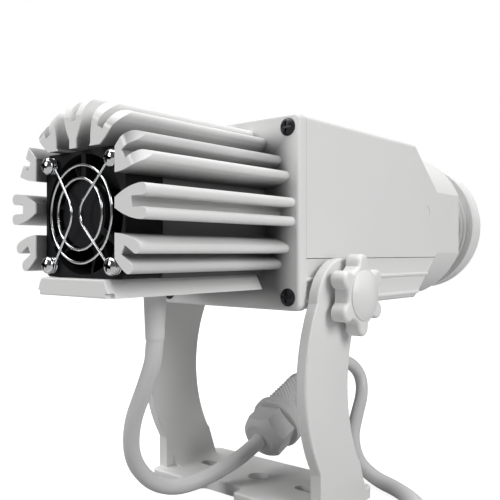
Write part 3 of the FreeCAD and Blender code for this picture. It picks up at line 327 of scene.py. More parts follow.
def make_fin_shade_group(centre_z):
    """A painted shade mask: 0 near the square core, where shade falls deepest, and 1 at the outside of the
    fins.
    """
    group = bpy.data.node_groups.new("painted_fin_shade_mask", "ShaderNodeTree")
    add_sockets(group, [("Full Shade at", "NodeSocketFloat", 0.020), ("No Shade at", "NodeSocketFloat", 0.031)],
                [("Mask", "NodeSocketFloat")])
    nodes, links = group.nodes, group.links
    given, out = nodes.new("NodeGroupInput"), nodes.new("NodeGroupOutput")
    place, split = nodes.new("ShaderNodeTexCoord"), nodes.new("ShaderNodeSeparateXYZ")
    links.new(place.outputs["Object"], split.inputs["Vector"])
    sideways = math_node(nodes, "ABSOLUTE")
    links.new(split.outputs["X"], sideways.inputs[0])
    level = math_node(nodes, "SUBTRACT", centre_z)
    links.new(split.outputs["Z"], level.inputs[0])
    upwards = math_node(nodes, "ABSOLUTE")
    links.new(level.outputs[0], upwards.inputs[0])
    farther = math_node(nodes, "MAXIMUM")
    links.new(sideways.outputs[0], farther.inputs[0])
    links.new(upwards.outputs[0], farther.inputs[1])
    corner = nodes.new("ShaderNodeMapRange")
    corner.inputs["From Min"].default_value = CROWDED_FROM_Y
    corner.inputs["From Max"].default_value = FLANGE_REAR_Y
    corner.inputs["To Max"].default_value = CROWDED_BY
    links.new(split.outputs["Y"], corner.inputs["Value"])
    crowded = math_node(nodes, "SUBTRACT")
    links.new(farther.outputs[0], crowded.inputs[0])
    links.new(corner.outputs["Result"], crowded.inputs[1])
    spread = nodes.new("ShaderNodeMapRange")
    spread.interpolation_type = "SMOOTHSTEP"
    links.new(crowded.outputs[0], spread.inputs["Value"])
    links.new(given.outputs["Full Shade at"], spread.inputs["From Min"])
    links.new(given.outputs["No Shade at"], spread.inputs["From Max"])
    rear = nodes.new("ShaderNodeMapRange")
    rear.inputs["From Min"].default_value = FIN_ENDS_FROM_Y
    rear.inputs["From Max"].default_value = FIN_END_Y
    links.new(split.outputs["Y"], rear.inputs["Value"])
    open_place = math_node(nodes, "MAXIMUM")
    links.new(spread.outputs["Result"], open_place.inputs[0])
    links.new(rear.outputs["Result"], open_place.inputs[1])
    links.new(open_place.outputs[0], out.inputs["Mask"])
    return group


fin_shade_group = make_fin_shade_group(FAN_CENTRE_Z)
print("recess group:", len(fin_shade_group.nodes), "nodes")


# %% [markdown]
# ## One recipe for seams and grooves
# The seam where two castings meet, and the roots of a thread, are narrow and shadowed, and
# their shade is painted into the colour. Both are a band: the seam lies between two places
# along the beam, and the roots between two distances from the optical axis. One group gives
# both masks for the painted shade.

# %% Build the band group
def make_band_group(centre_z):
    """Painted shade masks that rise from 0 to 1 between two distances from the axis, or two along the
    beam.
    """
    group = bpy.data.node_groups.new("band_mask", "ShaderNodeTree")
    add_sockets(group, [("Inner", "NodeSocketFloat", 0.0), ("Outer", "NodeSocketFloat", 1.0),
                        ("Rear", "NodeSocketFloat", 0.0), ("Front", "NodeSocketFloat", 1.0)],
                [("Outwards", "NodeSocketFloat"), ("Forwards", "NodeSocketFloat")])
    nodes, links = group.nodes, group.links
    given, out = nodes.new("NodeGroupInput"), nodes.new("NodeGroupOutput")
    place, split = nodes.new("ShaderNodeTexCoord"), nodes.new("ShaderNodeSeparateXYZ")
    centred = nodes.new("ShaderNodeVectorMath")
    centred.operation = "SUBTRACT"
    centred.inputs[1].default_value = (0, 0, centre_z)
    across = nodes.new("ShaderNodeVectorMath")
    across.operation = "MULTIPLY"
    across.inputs[1].default_value = (1, 0, 1)
    reach = nodes.new("ShaderNodeVectorMath")
    reach.operation = "LENGTH"
    links.new(place.outputs["Object"], centred.inputs[0])
    links.new(centred.outputs["Vector"], across.inputs[0])
    links.new(across.outputs["Vector"], reach.inputs[0])
    links.new(centred.outputs["Vector"], split.inputs["Vector"])
    for value, low, high, name in ((reach.outputs["Value"], "Inner", "Outer", "Outwards"),
                                   (split.outputs["Y"], "Rear", "Front", "Forwards")):
        ramp = nodes.new("ShaderNodeMapRange")
        links.new(value, ramp.inputs["Value"])
        links.new(given.outputs[low], ramp.inputs["From Min"])
        links.new(given.outputs[high], ramp.inputs["From Max"])
        links.new(ramp.outputs["Result"], out.inputs[name])
    return group


band_group = make_band_group(OPTICAL_AXIS_Z)
print("band group:", len(band_group.nodes), "nodes")


# %% [markdown]
# ## Materials
# Every finish starts from the colour that the model's own record gives, so that the drawing
# and the picture can't disagree. The grain group feeds colour, roughness and a bump, and each
# finish then gets what makes it itself. A value that is the same all over the surface is set
# on the shader, and only what changes from place to place comes through nodes.

# %% A base material from the record
recorded = {row["slot"]: row for row in frame["record"]["materials"]}
finishes = {}


def grained(slot, roughness, gloss_change, grain_per_metre, depth_mm, tone_change=0.03):
    """A material with the record's colour and fine relief. Returns it with its shader."""
    material = bpy.data.materials.new(slot)
    material.use_nodes = True
    nodes, links = material.node_tree.nodes, material.node_tree.links
    shader = nodes["Principled BSDF"]
    color = recorded[slot]["base_color"]
    grain = nodes.new("ShaderNodeGroup")
    grain.node_tree = grain_group
    grain.name = "grain"
    grain.inputs["Color"].default_value = (color[0], color[1], color[2], 1)
    grain.inputs["Grain per Metre"].default_value = grain_per_metre
    grain.inputs["Tone Change"].default_value = tone_change
    grain.inputs["Roughness"].default_value = roughness
    grain.inputs["Roughness Change"].default_value = gloss_change
    bump = nodes.new("ShaderNodeBump")
    bump.name = "relief"
    bump.inputs["Strength"].default_value = 1.0
    bump.inputs["Distance"].default_value = depth_mm * MM
    links.new(grain.outputs["Color"], shader.inputs["Base Color"])
    links.new(grain.outputs["Roughness"], shader.inputs["Roughness"])
    links.new(grain.outputs["Height"], bump.inputs["Height"])
    links.new(bump.outputs["Normal"], shader.inputs["Normal"])
    finishes[slot] = material
    return material, shader


print("finishes in the record:", len(recorded))

# %% [markdown]
# ### White coats
# The castings wear a satin powder coat: nearly white, a soft highlight, and orange peel
# about a millimetre across. The yoke has the same coat, a touch duller. The knobs are
# moulded plastic, with finer relief and slightly clearer highlights.

# %% White coats
casting, casting_shader = grained("white_casting", 0.42, 0.10, 1100.0, 0.012, 0.02)
casting_shader.inputs["Specular IOR Level"].default_value = 0.45
grained("white_yoke", 0.46, 0.10, 1000.0, 0.012, 0.02)
_, knob_shader = grained("white_knob", 0.36, 0.08, 2600.0, 0.006, 0.015)
knob_shader.inputs["Coat Weight"].default_value = 0.12
knob_shader.inputs["Coat Roughness"].default_value = 0.25
print("white coats ready")

# %% [markdown]
# ### Coats with painted shade
# Three castings need the coat with painted shade: between the fins, in the seam where the
# housing meets the heat sink, and in the roots of the focus thread. They are the same paint,
# so each is a copy of the coat with one mask mixed into its colour.

# %% Coats with painted shade
SEAM_FROM_Y, SEAM_TO_Y = -0.0161, -0.0158
GROOVE_ROOT_R, GROOVE_OPEN_R = 0.0306, 0.0330


def shaded_coat(name, dark, group, output, **sizes):
    """The casting's coat with painted shade, a darker tone where a group's mask is 0."""
    coat = casting.copy()
    coat.name = name
    nodes, links = coat.node_tree.nodes, coat.node_tree.links
    depth = nodes.new("ShaderNodeGroup")
    depth.node_tree = group
    for socket, value in sizes.items():
        depth.inputs[socket].default_value = value
    shade = nodes.new("ShaderNodeMix")
    shade.data_type = "RGBA"
    shade.inputs["A"].default_value = (dark, dark, dark, 1)
    links.new(depth.outputs[output], shade.inputs["Factor"])
    links.new(nodes["grain"].outputs["Color"], shade.inputs["B"])
    links.new(shade.outputs["Result"], nodes["Principled BSDF"].inputs["Base Color"])
    return coat


# Painted shade: the fins' coat darkens towards the core, where shade falls between them.
fin_shade_coat = shaded_coat("coat_with_painted_fin_shade", 0.13, fin_shade_group, "Mask")
# Painted shade: the housing darkens in the seam at its rear edge, where it meets the heat sink.
seam_shade_coat = shaded_coat("coat_with_painted_seam_shade", 0.12, band_group, "Forwards",
                     Rear=SEAM_FROM_Y, Front=SEAM_TO_Y)
# Painted shade: the focus tube darkens towards its axis, deepest at the thread's roots and about half
# strength at its crests.
thread_shade_coat = shaded_coat("coat_with_painted_thread_shade", 0.20, band_group, "Outwards",
                       Inner=GROOVE_ROOT_R, Outer=GROOVE_OPEN_R)
print("darker coats:", fin_shade_coat.name, seam_shade_coat.name, thread_shade_coat.name)

# %% [markdown]
# ### Black plastics
# A fan is moulded in black glass-filled plastic. Its frame is dull, with pale specks where
# fibres come to the surface, and its blades are glossier. A black that reflects the bright
# room looks grey, so both have a low specular level. Components, tie and rubber differ only
# in gloss and grain.

# %% Black plastics
fan_plastic, frame_shader = grained("fan_plastic", 0.48, 0.2, 2200.0, 0.010, 0.5)
_, blade_shader = grained("fan_blades", 0.34, 0.12, 1600.0, 0.004, 0.3)
frame_shader.inputs["Specular IOR Level"].default_value = 0.12
blade_shader.inputs["Specular IOR Level"].default_value = 0.25
grained("components", 0.5, 0.15, 2500.0, 0.006, 0.4)
grained("tie_black", 0.6, 0.2, 900.0, 0.02, 0.5)
grained("black_rubber", 0.72, 0.15, 1800.0, 0.012, 0.4)
print("black plastics and rubber ready")

# %% [markdown]
# ### Bright metal
# Plated wire and screws are fully metallic. With one roughness all over they would look like
# a mirror, or like plastic foil, so the grain spreads it a little, as the drawing die and
# the plating bath do. The flange's screws are blackened steel, which reflects much less.

# %% Plated and plain metal
def metal(slot, roughness, gloss_change, grain_per_metre, depth_mm, tone_change):
    """A grained finish that is metallic all over."""
    material, shader = grained(slot, roughness, gloss_change, grain_per_metre, depth_mm, tone_change)
    shader.inputs["Metallic"].default_value = 1.0
    return material, shader


metal("guard_chrome", 0.16, 0.10, 1500.0, 0.002, 0.05)
metal("screw_chrome", 0.14, 0.12, 2500.0, 0.002, 0.05)
metal("steel", 0.32, 0.2, 900.0, 0.004, 0.15)
metal("pin_brass", 0.22, 0.12, 1500.0, 0.003, 0.08)
_, black_screw_shader = grained("black_screw", 0.34, 0.15, 2500.0, 0.004, 0.3)
black_screw_shader.inputs["Metallic"].default_value = 0.6
black_screw_shader.inputs["Specular IOR Level"].default_value = 0.2
print("metals ready")

# %% [markdown]
# ### Turned aluminium
# The holders inside are bare aluminium from the lathe. The same metal is used, and the lathe
# group's rings take the place of its grain in the bump.

# %% Turned aluminium with its lathe marks
def turned(slot, rings_per_metre, roughness):
    """Bare metal whose relief is rings instead of grain."""
    material, shader = metal(slot, roughness, 0.1, 1200.0, 0.006, 0.05)
    nodes, links = material.node_tree.nodes, material.node_tree.links
    rings = nodes.new("ShaderNodeGroup")
    rings.node_tree = lathe_group
    rings.inputs["Rings per Metre"].default_value = rings_per_metre
    links.new(rings.outputs["Height"], nodes["relief"].inputs["Height"])
    return material


print("turned:", turned("bare_aluminium", 3500.0, 0.3).name)

# %% [markdown]
# ### Motor winding
# The stator is a stack of steel sheets with copper wire round it. Modelling each turn of wire
# would be wasted behind the hub, so a wave along the shaft stripes it copper and steel, and
# the same wave goes to the bump.

# %% Copper and steel stripes
winding, winding_shader = metal("copper_winding", 0.35, 0.15, 1500.0, 0.01, 0.1)
nodes, links = winding.node_tree.nodes, winding.node_tree.links
where = nodes.new("ShaderNodeTexCoord")
stripes = nodes.new("ShaderNodeTexWave")
stripes.bands_direction = "Y"
stripes.inputs["Scale"].default_value = 400.0
links.new(where.outputs["Object"], stripes.inputs["Vector"])
mix = nodes.new("ShaderNodeMix")
mix.data_type = "RGBA"
mix.inputs["B"].default_value = (0.35, 0.35, 0.37, 1)
links.new(stripes.outputs["Fac"], mix.inputs["Factor"])
links.new(nodes["grain"].outputs["Color"], mix.inputs["A"])
links.new(mix.outputs["Result"], winding_shader.inputs["Base Color"])
links.new(stripes.outputs["Fac"], nodes["relief"].inputs["Height"])
print("winding ready")


# %% [markdown]
# ### Glass
# The lenses are clear and polished. A Glass shader would do, but the Principled shader's own
# transmission keeps all finishes alike. The pattern disc is mirror coated glass, with plain
# clear rings where the light goes through. They are a wave whose rings need their middle on
# the optical axis, which is what the Mapping node does.

# %% Lens glass and the pattern disc
_, lens_shader = grained("lens_glass", 0.03, 0.03, 300.0, 0.0002, 0.0)
lens_shader.inputs["Transmission Weight"].default_value = 1.0
lens_shader.inputs["IOR"].default_value = 1.52
gobo_glass, gobo_shader = grained("gobo_glass", 0.08, 0.04, 400.0, 0.0005, 0.05)
gobo_shader.inputs["Metallic"].default_value = 0.8
nodes, links = gobo_glass.node_tree.nodes, gobo_glass.node_tree.links
rings = nodes.new("ShaderNodeTexWave")
rings.wave_type = "RINGS"
rings.rings_direction = "Y"
rings.inputs["Scale"].default_value = 60.0
middle = nodes.new("ShaderNodeMapping")
middle.inputs["Location"].default_value = (0, 0, -OPTICAL_AXIS_Z)
where = nodes.new("ShaderNodeTexCoord")
links.new(where.outputs["Object"], middle.inputs["Vector"])
links.new(middle.outputs["Vector"], rings.inputs["Vector"])
mix = nodes.new("ShaderNodeMix")
mix.data_type = "RGBA"
mix.inputs["B"].default_value = (0.75, 0.8, 0.85, 1)
links.new(rings.outputs["Fac"], mix.inputs["Factor"])
links.new(nodes["grain"].outputs["Color"], mix.inputs["A"])
links.new(mix.outputs["Result"], gobo_shader.inputs["Base Color"])
print("glass ready")


# %% [markdown]
# ### Circuit boards and light source
# The driver board is green lacquer over copper tracks, the light source's board is white,
# and the phosphor is a yellow, slightly grainy gel. Tracks run straight and turn at right
# angles, so the borders between the square cells of a Voronoi texture stand in for them.

# %% Boards and phosphor
def tracks(slot, track_color, per_metre, roughness):
    """Lacquer with raised tracks: the borders between square cells."""
    material, shader = grained(slot, roughness, 0.08, 1500.0, 0.008, 0.1)
    tree = material.node_tree
    place = tree.nodes.new("ShaderNodeTexCoord")
    cells = tree.nodes.new("ShaderNodeTexVoronoi")
    cells.distance = "MANHATTAN"
    cells.feature = "F1"
    cells.inputs["Scale"].default_value = per_metre
    edge = tree.nodes.new("ShaderNodeMapRange")
    edge.inputs["From Min"].default_value = 0.62
    edge.inputs["From Max"].default_value = 0.66
    tint = tree.nodes.new("ShaderNodeMix")
    tint.data_type = "RGBA"
    tint.inputs["B"].default_value = track_color
    tree.links.new(place.outputs["Object"], cells.inputs["Vector"])
    tree.links.new(cells.outputs["Distance"], edge.inputs["Value"])
    tree.links.new(edge.outputs["Result"], tint.inputs["Factor"])
    tree.links.new(tree.nodes["grain"].outputs["Color"], tint.inputs["A"])
    tree.links.new(tint.outputs["Result"], shader.inputs["Base Color"])
    tree.links.new(edge.outputs["Result"], tree.nodes["relief"].inputs["Height"])


tracks("board_green", (0.10, 0.36, 0.18, 1), 260.0, 0.28)
tracks("board_white", (0.80, 0.80, 0.78, 1), 180.0, 0.25)
_, phosphor_shader = grained("phosphor", 0.3, 0.1, 3000.0, 0.01, 0.12)
phosphor_shader.inputs["Subsurface Weight"].default_value = 0.2
phosphor_shader.inputs["Subsurface Radius"].default_value = (0.001, 0.0006, 0.0002)
print("boards ready")

# %% [markdown]
# ### Cable, connector and plug
# The sheath is soft satin PVC, the connector a harder nylon in a darker grey with a coarse
# spark texture, and the plug lies between them. Soft plastic scatters a little light at
# grazing angles, which a trace of sheen gives more cheaply than subsurface scattering.

# %% Greys
_, cable_shader = grained("cable_grey", 0.42, 0.12, 1400.0, 0.010, 0.05)
cable_shader.inputs["Sheen Weight"].default_value = 0.03
grained("connector_grey", 0.5, 0.15, 1800.0, 0.018, 0.06)
grained("plug_grey", 0.45, 0.12, 1800.0, 0.014, 0.05)
print("finishes made:", len(finishes), "of", len(recorded))

# %% [markdown]
# ## Dressing the fixed parts
# The record names one finish for each part, so a loop can hang them all. The heat sink and
# the housing then change to the coats with their painted shade.

# %% Give every fixed part its finish
for row in frame["record"]["subparts"]:
    mesh = frame["nodes"][row["node"]].data
    mesh.materials.clear()
    mesh.materials.append(finishes[row["material_slot"]])
frame["nodes"]["heat_sink"].data.materials[0] = fin_shade_coat
frame["nodes"]["housing"].data.materials[0] = seam_shade_coat


# %% [markdown]
# ## Modelling helpers
# Every new piece starts from a primitive and is shaped in edit mode. A turned part needs its
# outline first. It could be typed in as a mesh, but drawing it as a modeller does, one vertex
# extruded from point to point, works with the same tools as the rest. Then it is spun.

# %% Draw an outline and turn it
def draw_outline(name, points, closed=False):
    """A line of edges through points, each vertex extruded from the one before."""
    select_none()
    bpy.ops.mesh.primitive_plane_add(size=0.001, location=points[0])
    piece = bpy.context.object
    piece.name = name
    bpy.ops.object.transform_apply(location=True, rotation=True, scale=True)
    bpy.ops.object.mode_set(mode="EDIT")
    bpy.ops.mesh.select_mode(type="VERT")
    bpy.ops.mesh.select_all(action="SELECT")
    bpy.ops.mesh.merge(type="CENTER")
    for before, after in zip(points, points[1:]):
        bpy.ops.mesh.extrude_region_move(
            TRANSFORM_OT_translate={"value": Vector(after) - Vector(before)})
    if closed:
        bpy.ops.mesh.extrude_region_move(
            TRANSFORM_OT_translate={"value": Vector(points[0]) - Vector(points[-1])})
        bpy.ops.mesh.select_all(action="SELECT")
        bpy.ops.mesh.remove_doubles(threshold=1e-6)
    return piece


def turn_round(steps, centre, axis):
    """Spin all that is selected once round an axis, close the seam and point faces outwards."""
    bpy.ops.mesh.select_all(action="SELECT")
    bpy.ops.mesh.spin(steps=steps, angle=2 * math.pi, center=centre, axis=axis)
    bpy.ops.mesh.select_all(action="SELECT")
    bpy.ops.mesh.remove_doubles(threshold=1e-6)
    bpy.ops.mesh.normals_make_consistent(inside=False)


print("drawing helpers:", draw_outline.__name__, turn_round.__name__)

# %% [markdown]
# Edit mode tools act on what is selected. A click picks a face by eye, and a script picks it
# by where its middle is and which way it looks.

# %% Pick faces, apply modifiers, join
def pick_faces(wanted):
    """In edit mode, select the faces whose middle and normal pass a test."""
    bpy.ops.mesh.select_mode(type="FACE")
    mesh = bmesh.from_edit_mesh(bpy.context.object.data)
    for face in mesh.faces:
        face.select_set(bool(wanted(face.calc_center_median(), face.normal)))
    mesh.select_flush(True)
    bmesh.update_edit_mesh(bpy.context.object.data)


def apply_modifiers(piece):
    """Make a piece's modifiers part of its mesh."""
    select_none()
    piece.select_set(True)
    bpy.context.view_layer.objects.active = piece
    for modifier in list(piece.modifiers):
        bpy.ops.object.modifier_apply(modifier=modifier.name)


def join_pieces(pieces):
    """One object from several."""
    select_none()
    for piece in pieces:
        piece.select_set(True)
    bpy.context.view_layer.objects.active = pieces[0]
    bpy.ops.object.join()
    return bpy.context.object


print("editing helpers:", pick_faces.__name__, apply_modifiers.__name__, join_pieces.__name__)

# %% [markdown]
# A finished piece gets its place into its mesh, because patterns on Object coordinates would
# slide otherwise, then its shading and its finish. It is told which moving body it rides on
# and which plain parts of the model it stands in for.

# %% Hang up a finished piece
def hang_up(piece, body, slot, *nodes, smooth=40):
    """Finish a piece: its place in its mesh, smooth faces, its finish, its body, its nodes."""
    select_none()
    piece.select_set(True)
    bpy.context.view_layer.objects.active = piece
    bpy.ops.object.transform_apply(location=True, rotation=True, scale=True)
    bpy.ops.object.shade_smooth_by_angle(angle=math.radians(smooth))
    piece.data.materials.clear()
    piece.data.materials.append(finishes[slot])
    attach(piece, body)
    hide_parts(*nodes)
    print(piece.name, "has", len(piece.data.polygons), "faces")


print("ready to model on", len(frame["nodes"]), "parts")


# %% [markdown]
# ## Focus tube
# The barrel's front tube has a coarse rounded thread: turning the tube moves the lenses and
# sharpens the picture. Its body is the same all round, with a groove for the rubber seal and
# a step at the front that the bezel screws on to, so it is an outline spun round the axis.

# %% Spin the tube's body
tube_profile = [
    (25.5, 79.0), (31.4, 79.0), (31.9, 79.5), (31.9, 110.6), (30.05, 110.6), (30.05, 113.4),
    (31.9, 113.4), (31.9, 114.2), (30.7, 114.6), (30.7, 141.5), (31.0, 141.5), (31.0, 147.4),
    (30.6, 147.9), (29.45, 147.9), (29.45, 82.5), (25.5, 82.5),
]
tube_body = draw_outline("focus_tube_body",
                         [(r * MM, y * MM, OPTICAL_AXIS_Z) for r, y in tube_profile], closed=True)
turn_round(128, (0, 0, OPTICAL_AXIS_Z), (0, 1, 0))
bpy.ops.object.mode_set(mode="OBJECT")
print("tube faces:", len(tube_body.data.polygons))

# %% [markdown]
# ### Its thread
# A thread climbs as it turns, so it can't be spun. Rings side by side would look the same in
# a still picture, but not when the tube turns. One wave of it goes through a Screw modifier,
# five millimetres a turn, and the turns are merged into one sheet.

# %% Screw the thread
THREAD_FROM, THREAD_TO = 0.1142, 0.1415
THREAD_PITCH, THREAD_TURNS = 0.005, 8
RUN_IN = 0.006
ROOT_R, CREST_R = 0.0308, 0.03195
wave = [(0.00, 1.0), (0.12, 0.93), (0.22, 0.62), (0.30, 0.2), (0.38, 0.0), (0.50, 0.0),
        (0.58, 0.2), (0.66, 0.62), (0.76, 0.93), (0.88, 1.0), (1.0, 1.0)]
thread = draw_outline("focus_thread", [
    (ROOT_R + (CREST_R - ROOT_R) * high, THREAD_FROM - RUN_IN + share * THREAD_PITCH, 0)
    for share, high in wave])
bpy.ops.object.mode_set(mode="OBJECT")
screwed = thread.modifiers.new("climb", "SCREW")
screwed.axis = "Y"
screwed.angle = 2 * math.pi
screwed.screw_offset = THREAD_PITCH
screwed.iterations = THREAD_TURNS
screwed.steps = screwed.render_steps = 96
thread.location.z = OPTICAL_AXIS_Z
apply_modifiers(thread)
bpy.ops.object.transform_apply(location=True, rotation=True, scale=True)
bpy.ops.object.mode_set(mode="EDIT")
bpy.ops.mesh.select_all(action="SELECT")
bpy.ops.mesh.remove_doubles(threshold=2e-6)
print("thread turns:", THREAD_TURNS, "pitch:", THREAD_PITCH)

# %% [markdown]
# ### Square ends for the thread
# The screwed sheet starts and ends on a slant. Bisect cuts both ends square. The open edges
# are then drawn inwards, into the tube's wall, and bridged, so the thread is a closed ring.

# %% Cut and close the thread
for end, keep_front in ((THREAD_FROM, True), (THREAD_TO, False)):
    bpy.ops.mesh.select_all(action="SELECT")
    bpy.ops.mesh.bisect(plane_co=(0, end, 0), plane_no=(0, 1, 0),
                        clear_inner=keep_front, clear_outer=not keep_front)
bpy.ops.mesh.select_mode(type="EDGE")
bpy.ops.mesh.select_all(action="DESELECT")
bpy.ops.mesh.select_non_manifold(extend=False)
bpy.ops.mesh.extrude_region_move()
bpy.ops.transform.resize(value=(0.975, 1, 0.975), center_override=(0, 0, OPTICAL_AXIS_Z))
bpy.ops.mesh.bridge_edge_loops()
bpy.ops.mesh.select_all(action="SELECT")
bpy.ops.mesh.normals_make_consistent(inside=False)
bpy.ops.object.mode_set(mode="OBJECT")
focus_tube = join_pieces([tube_body, thread])
hang_up(focus_tube, "focus_tube", "white_casting", "focus_tube", smooth=50)
focus_tube.data.materials[0] = thread_shade_coat


# %% [markdown]
# ## Fan rotor
# A fan's blades stand on a cup that covers the motor. The cup is round, so it is spun: an
# outline with a thin wall, a rounded rim and a small hole for the shaft.

# %% Spin the hub
hub_profile = [(8.6, -84.7), (10.2, -84.7), (10.6, -84.3), (10.6, -73.8), (10.0, -73.2),
               (1.02, -73.2), (1.02, -74.8), (8.6, -74.8)]
hub = draw_outline("fan_rotor_hub", [(r * MM, y * MM, FAN_CENTRE_Z) for r, y in hub_profile],
                   closed=True)
turn_round(72, (0, 0, FAN_CENTRE_Z), (0, 1, 0))
bpy.ops.object.mode_set(mode="OBJECT")
print("hub faces:", len(hub.data.polygons))

# %% [markdown]
# ### One blade
# A blade is a plate that is steeper at its root than at its tip, because the tip moves faster
# through the air. A Simple Deform modifier could twist it, but turning the columns of a grid
# one by one keeps both angles in plain sight. It then gets a thickness and soft edges.

# %% Twist a blade
FAN_BACK, FAN_FRONT = -0.0847, -0.0732
FAN_MIDDLE = (FAN_BACK + FAN_FRONT) / 2
HUB_R, BLADE_R, ROOT_OVERLAP = 0.0106, 0.0181, 0.0006
BLADE_CHORD = 0.0125
ROOT_ANGLE, TIP_ANGLE = 48, 30
select_none()
bpy.ops.mesh.primitive_grid_add(x_subdivisions=10, y_subdivisions=6, size=1.0)
blade = bpy.context.object
blade.name = "fan_blade"
blade.scale = (BLADE_R - HUB_R + ROOT_OVERLAP, BLADE_CHORD, 1)
blade.location = ((BLADE_R + HUB_R - ROOT_OVERLAP) / 2, FAN_MIDDLE, FAN_CENTRE_Z)
bpy.ops.object.transform_apply(location=True, rotation=True, scale=True)
bpy.ops.object.mode_set(mode="EDIT")
bpy.ops.mesh.select_mode(type="VERT")
for column in range(11):
    bpy.ops.mesh.select_all(action="DESELECT")
    share = column / 10
    x = HUB_R - ROOT_OVERLAP + share * (BLADE_R - HUB_R + ROOT_OVERLAP)
    grid = bmesh.from_edit_mesh(blade.data)
    for vertex in grid.verts:
        vertex.select_set(abs(vertex.co.x - x) < 2e-4)
    grid.select_flush(True)
    bmesh.update_edit_mesh(blade.data)
    steepness = ROOT_ANGLE + (TIP_ANGLE - ROOT_ANGLE) * share
    bpy.ops.transform.rotate(value=math.radians(steepness), orient_axis="X",
                             center_override=(0, FAN_MIDDLE, FAN_CENTRE_Z))
    bpy.ops.transform.translate(value=(0, 0, 0.002 * share ** 2))
bpy.ops.object.mode_set(mode="OBJECT")
thick = blade.modifiers.new("thickness", "SOLIDIFY")
thick.thickness = 0.0009
thick.offset = 0.0
soft = blade.modifiers.new("rounding", "BEVEL")
soft.width = 0.0002
soft.segments = 2
apply_modifiers(blade)
print("blade faces:", len(blade.data.polygons))

# %% [markdown]
# ### Seven blades
# An odd number keeps the blades from passing the struts all at once, which is quieter. Each
# blade is a copy with its own mesh, turned in place about the shaft, and all are joined to
# the hub, because the rotor is one moulding.

# %% Set seven blades round the hub
BLADE_COUNT = 7
shaft_middle = Vector((0, 0, FAN_CENTRE_Z))
blades = [blade]
for i in range(1, BLADE_COUNT):
    copy = blade.copy()
    copy.data = blade.data.copy()
    bpy.context.scene.collection.objects.link(copy)
    copy.data.transform(Matrix.Translation(shaft_middle)
                        @ Matrix.Rotation(i * 2 * math.pi / BLADE_COUNT, 4, "Y")
                        @ Matrix.Translation(-shaft_middle))
    blades.append(copy)
rotor = join_pieces([hub] + blades)
rotor.name = "fan_rotor_moulded"
hang_up(rotor, "fan", "fan_blades", "fan_rotor")


# %% [markdown]
# ## Fan screws
# Four bright screws with domed heads hold the guard. The dome and the shank are one outline,
# spun. The cross recess could be a dark picture on the dome, but it has to catch the light on
# its edges. Two tapered bars are cut out with Boolean modifiers, as a punch does it.

# %% Spin a screw and punch its cross
HEAD_TOP = -0.09085
CROSS_TURN = 0.35
screw_profile = [(0.0, -90.85), (0.9, -90.80), (1.75, -90.55), (2.4, -90.10), (2.75, -89.55),
                 (2.9, -89.0), (2.85, -88.72), (1.45, -88.65), (1.45, -62.7), (0.9, -61.7), (0.0, -61.7)]
screw = draw_outline("fan_screw", [(r * MM, y * MM, 0) for r, y in screw_profile])
turn_round(40, (0, 0, 0), (0, 1, 0))
bpy.ops.object.mode_set(mode="OBJECT")
bars = []
for turn in (0, math.pi / 2):
    select_none()
    bpy.ops.mesh.primitive_cube_add(size=1.0, location=(0, HEAD_TOP + 0.0004, 0),
                                    scale=(0.0042, 0.0030, 0.0011),
                                    rotation=(0, turn + CROSS_TURN, 0))
    bar = bpy.context.object
    bpy.ops.object.transform_apply(location=True, rotation=True, scale=True)
    bpy.ops.object.mode_set(mode="EDIT")
    pick_faces(lambda middle, normal: normal.y > 0.9)
    bpy.ops.transform.resize(value=(0.45, 1, 0.45), center_override=(0, 0, 0))
    bpy.ops.object.mode_set(mode="OBJECT")
    punch = screw.modifiers.new("punch", "BOOLEAN")
    punch.operation = "DIFFERENCE"
    punch.solver = "EXACT"
    punch.object = bar
    bars.append(bar)
apply_modifiers(screw)
for bar in bars:
    bpy.data.objects.remove(bar)
print("screw faces:", len(screw.data.polygons))

# %% [markdown]
# ### Four screws and their spring washers
# The screws stand on a square, 32 millimetres apart. Each is a copy with its own mesh, and
# under each head a flattened torus is the washer that presses on the guard's wire.

# %% Set four screws
SCREW_X = 0.016
WASHER_Y = -0.0874
screws = []
for x in (-SCREW_X, SCREW_X):
    for z in (FAN_CENTRE_Z - SCREW_X, FAN_CENTRE_Z + SCREW_X):
        copy = screw.copy()
        copy.data = screw.data.copy()
        copy.data.transform(Matrix.Translation(Vector((x, 0, z))))
        bpy.context.scene.collection.objects.link(copy)
        screws.append(copy)
        select_none()
        bpy.ops.mesh.primitive_torus_add(location=(x, WASHER_Y, z), rotation=(math.pi / 2, 0, 0),
                                         major_radius=0.0023, minor_radius=0.00042,
                                         major_segments=36, minor_segments=8)
        washer = bpy.context.object
        bpy.ops.object.transform_apply(location=True, rotation=True, scale=True)
        bpy.ops.object.mode_set(mode="EDIT")
        bpy.ops.mesh.select_all(action="SELECT")
        bpy.ops.transform.resize(value=(1, 0.75, 1), center_override=(x, WASHER_Y, z))
        bpy.ops.object.mode_set(mode="OBJECT")
        screws.append(washer)
bpy.data.objects.remove(screw)
fan_screws = join_pieces(screws)
fan_screws.name = "fan_screws_crossed"
hang_up(fan_screws, "head", "screw_chrome", "fan_screws", smooth=30)

# %% [markdown]
# ### Painted shade in the crosses
# Shade falls in the bottom of the punched cross, so its faces get black plastic as painted
# shade. The faces of the cross are those that lie below the dome near its middle. The dome
# is nearly a parabola there, so its height at a face follows from the distance to the
# screw's own axis.

# %% Paint shade into the crosses
HEAD_BACK = -0.08865
CROSS_REACH = 0.0022
DOME_DROP, DOME_DROP_AT_R = 0.00030, 0.00175
BELOW_DOME = 0.00012
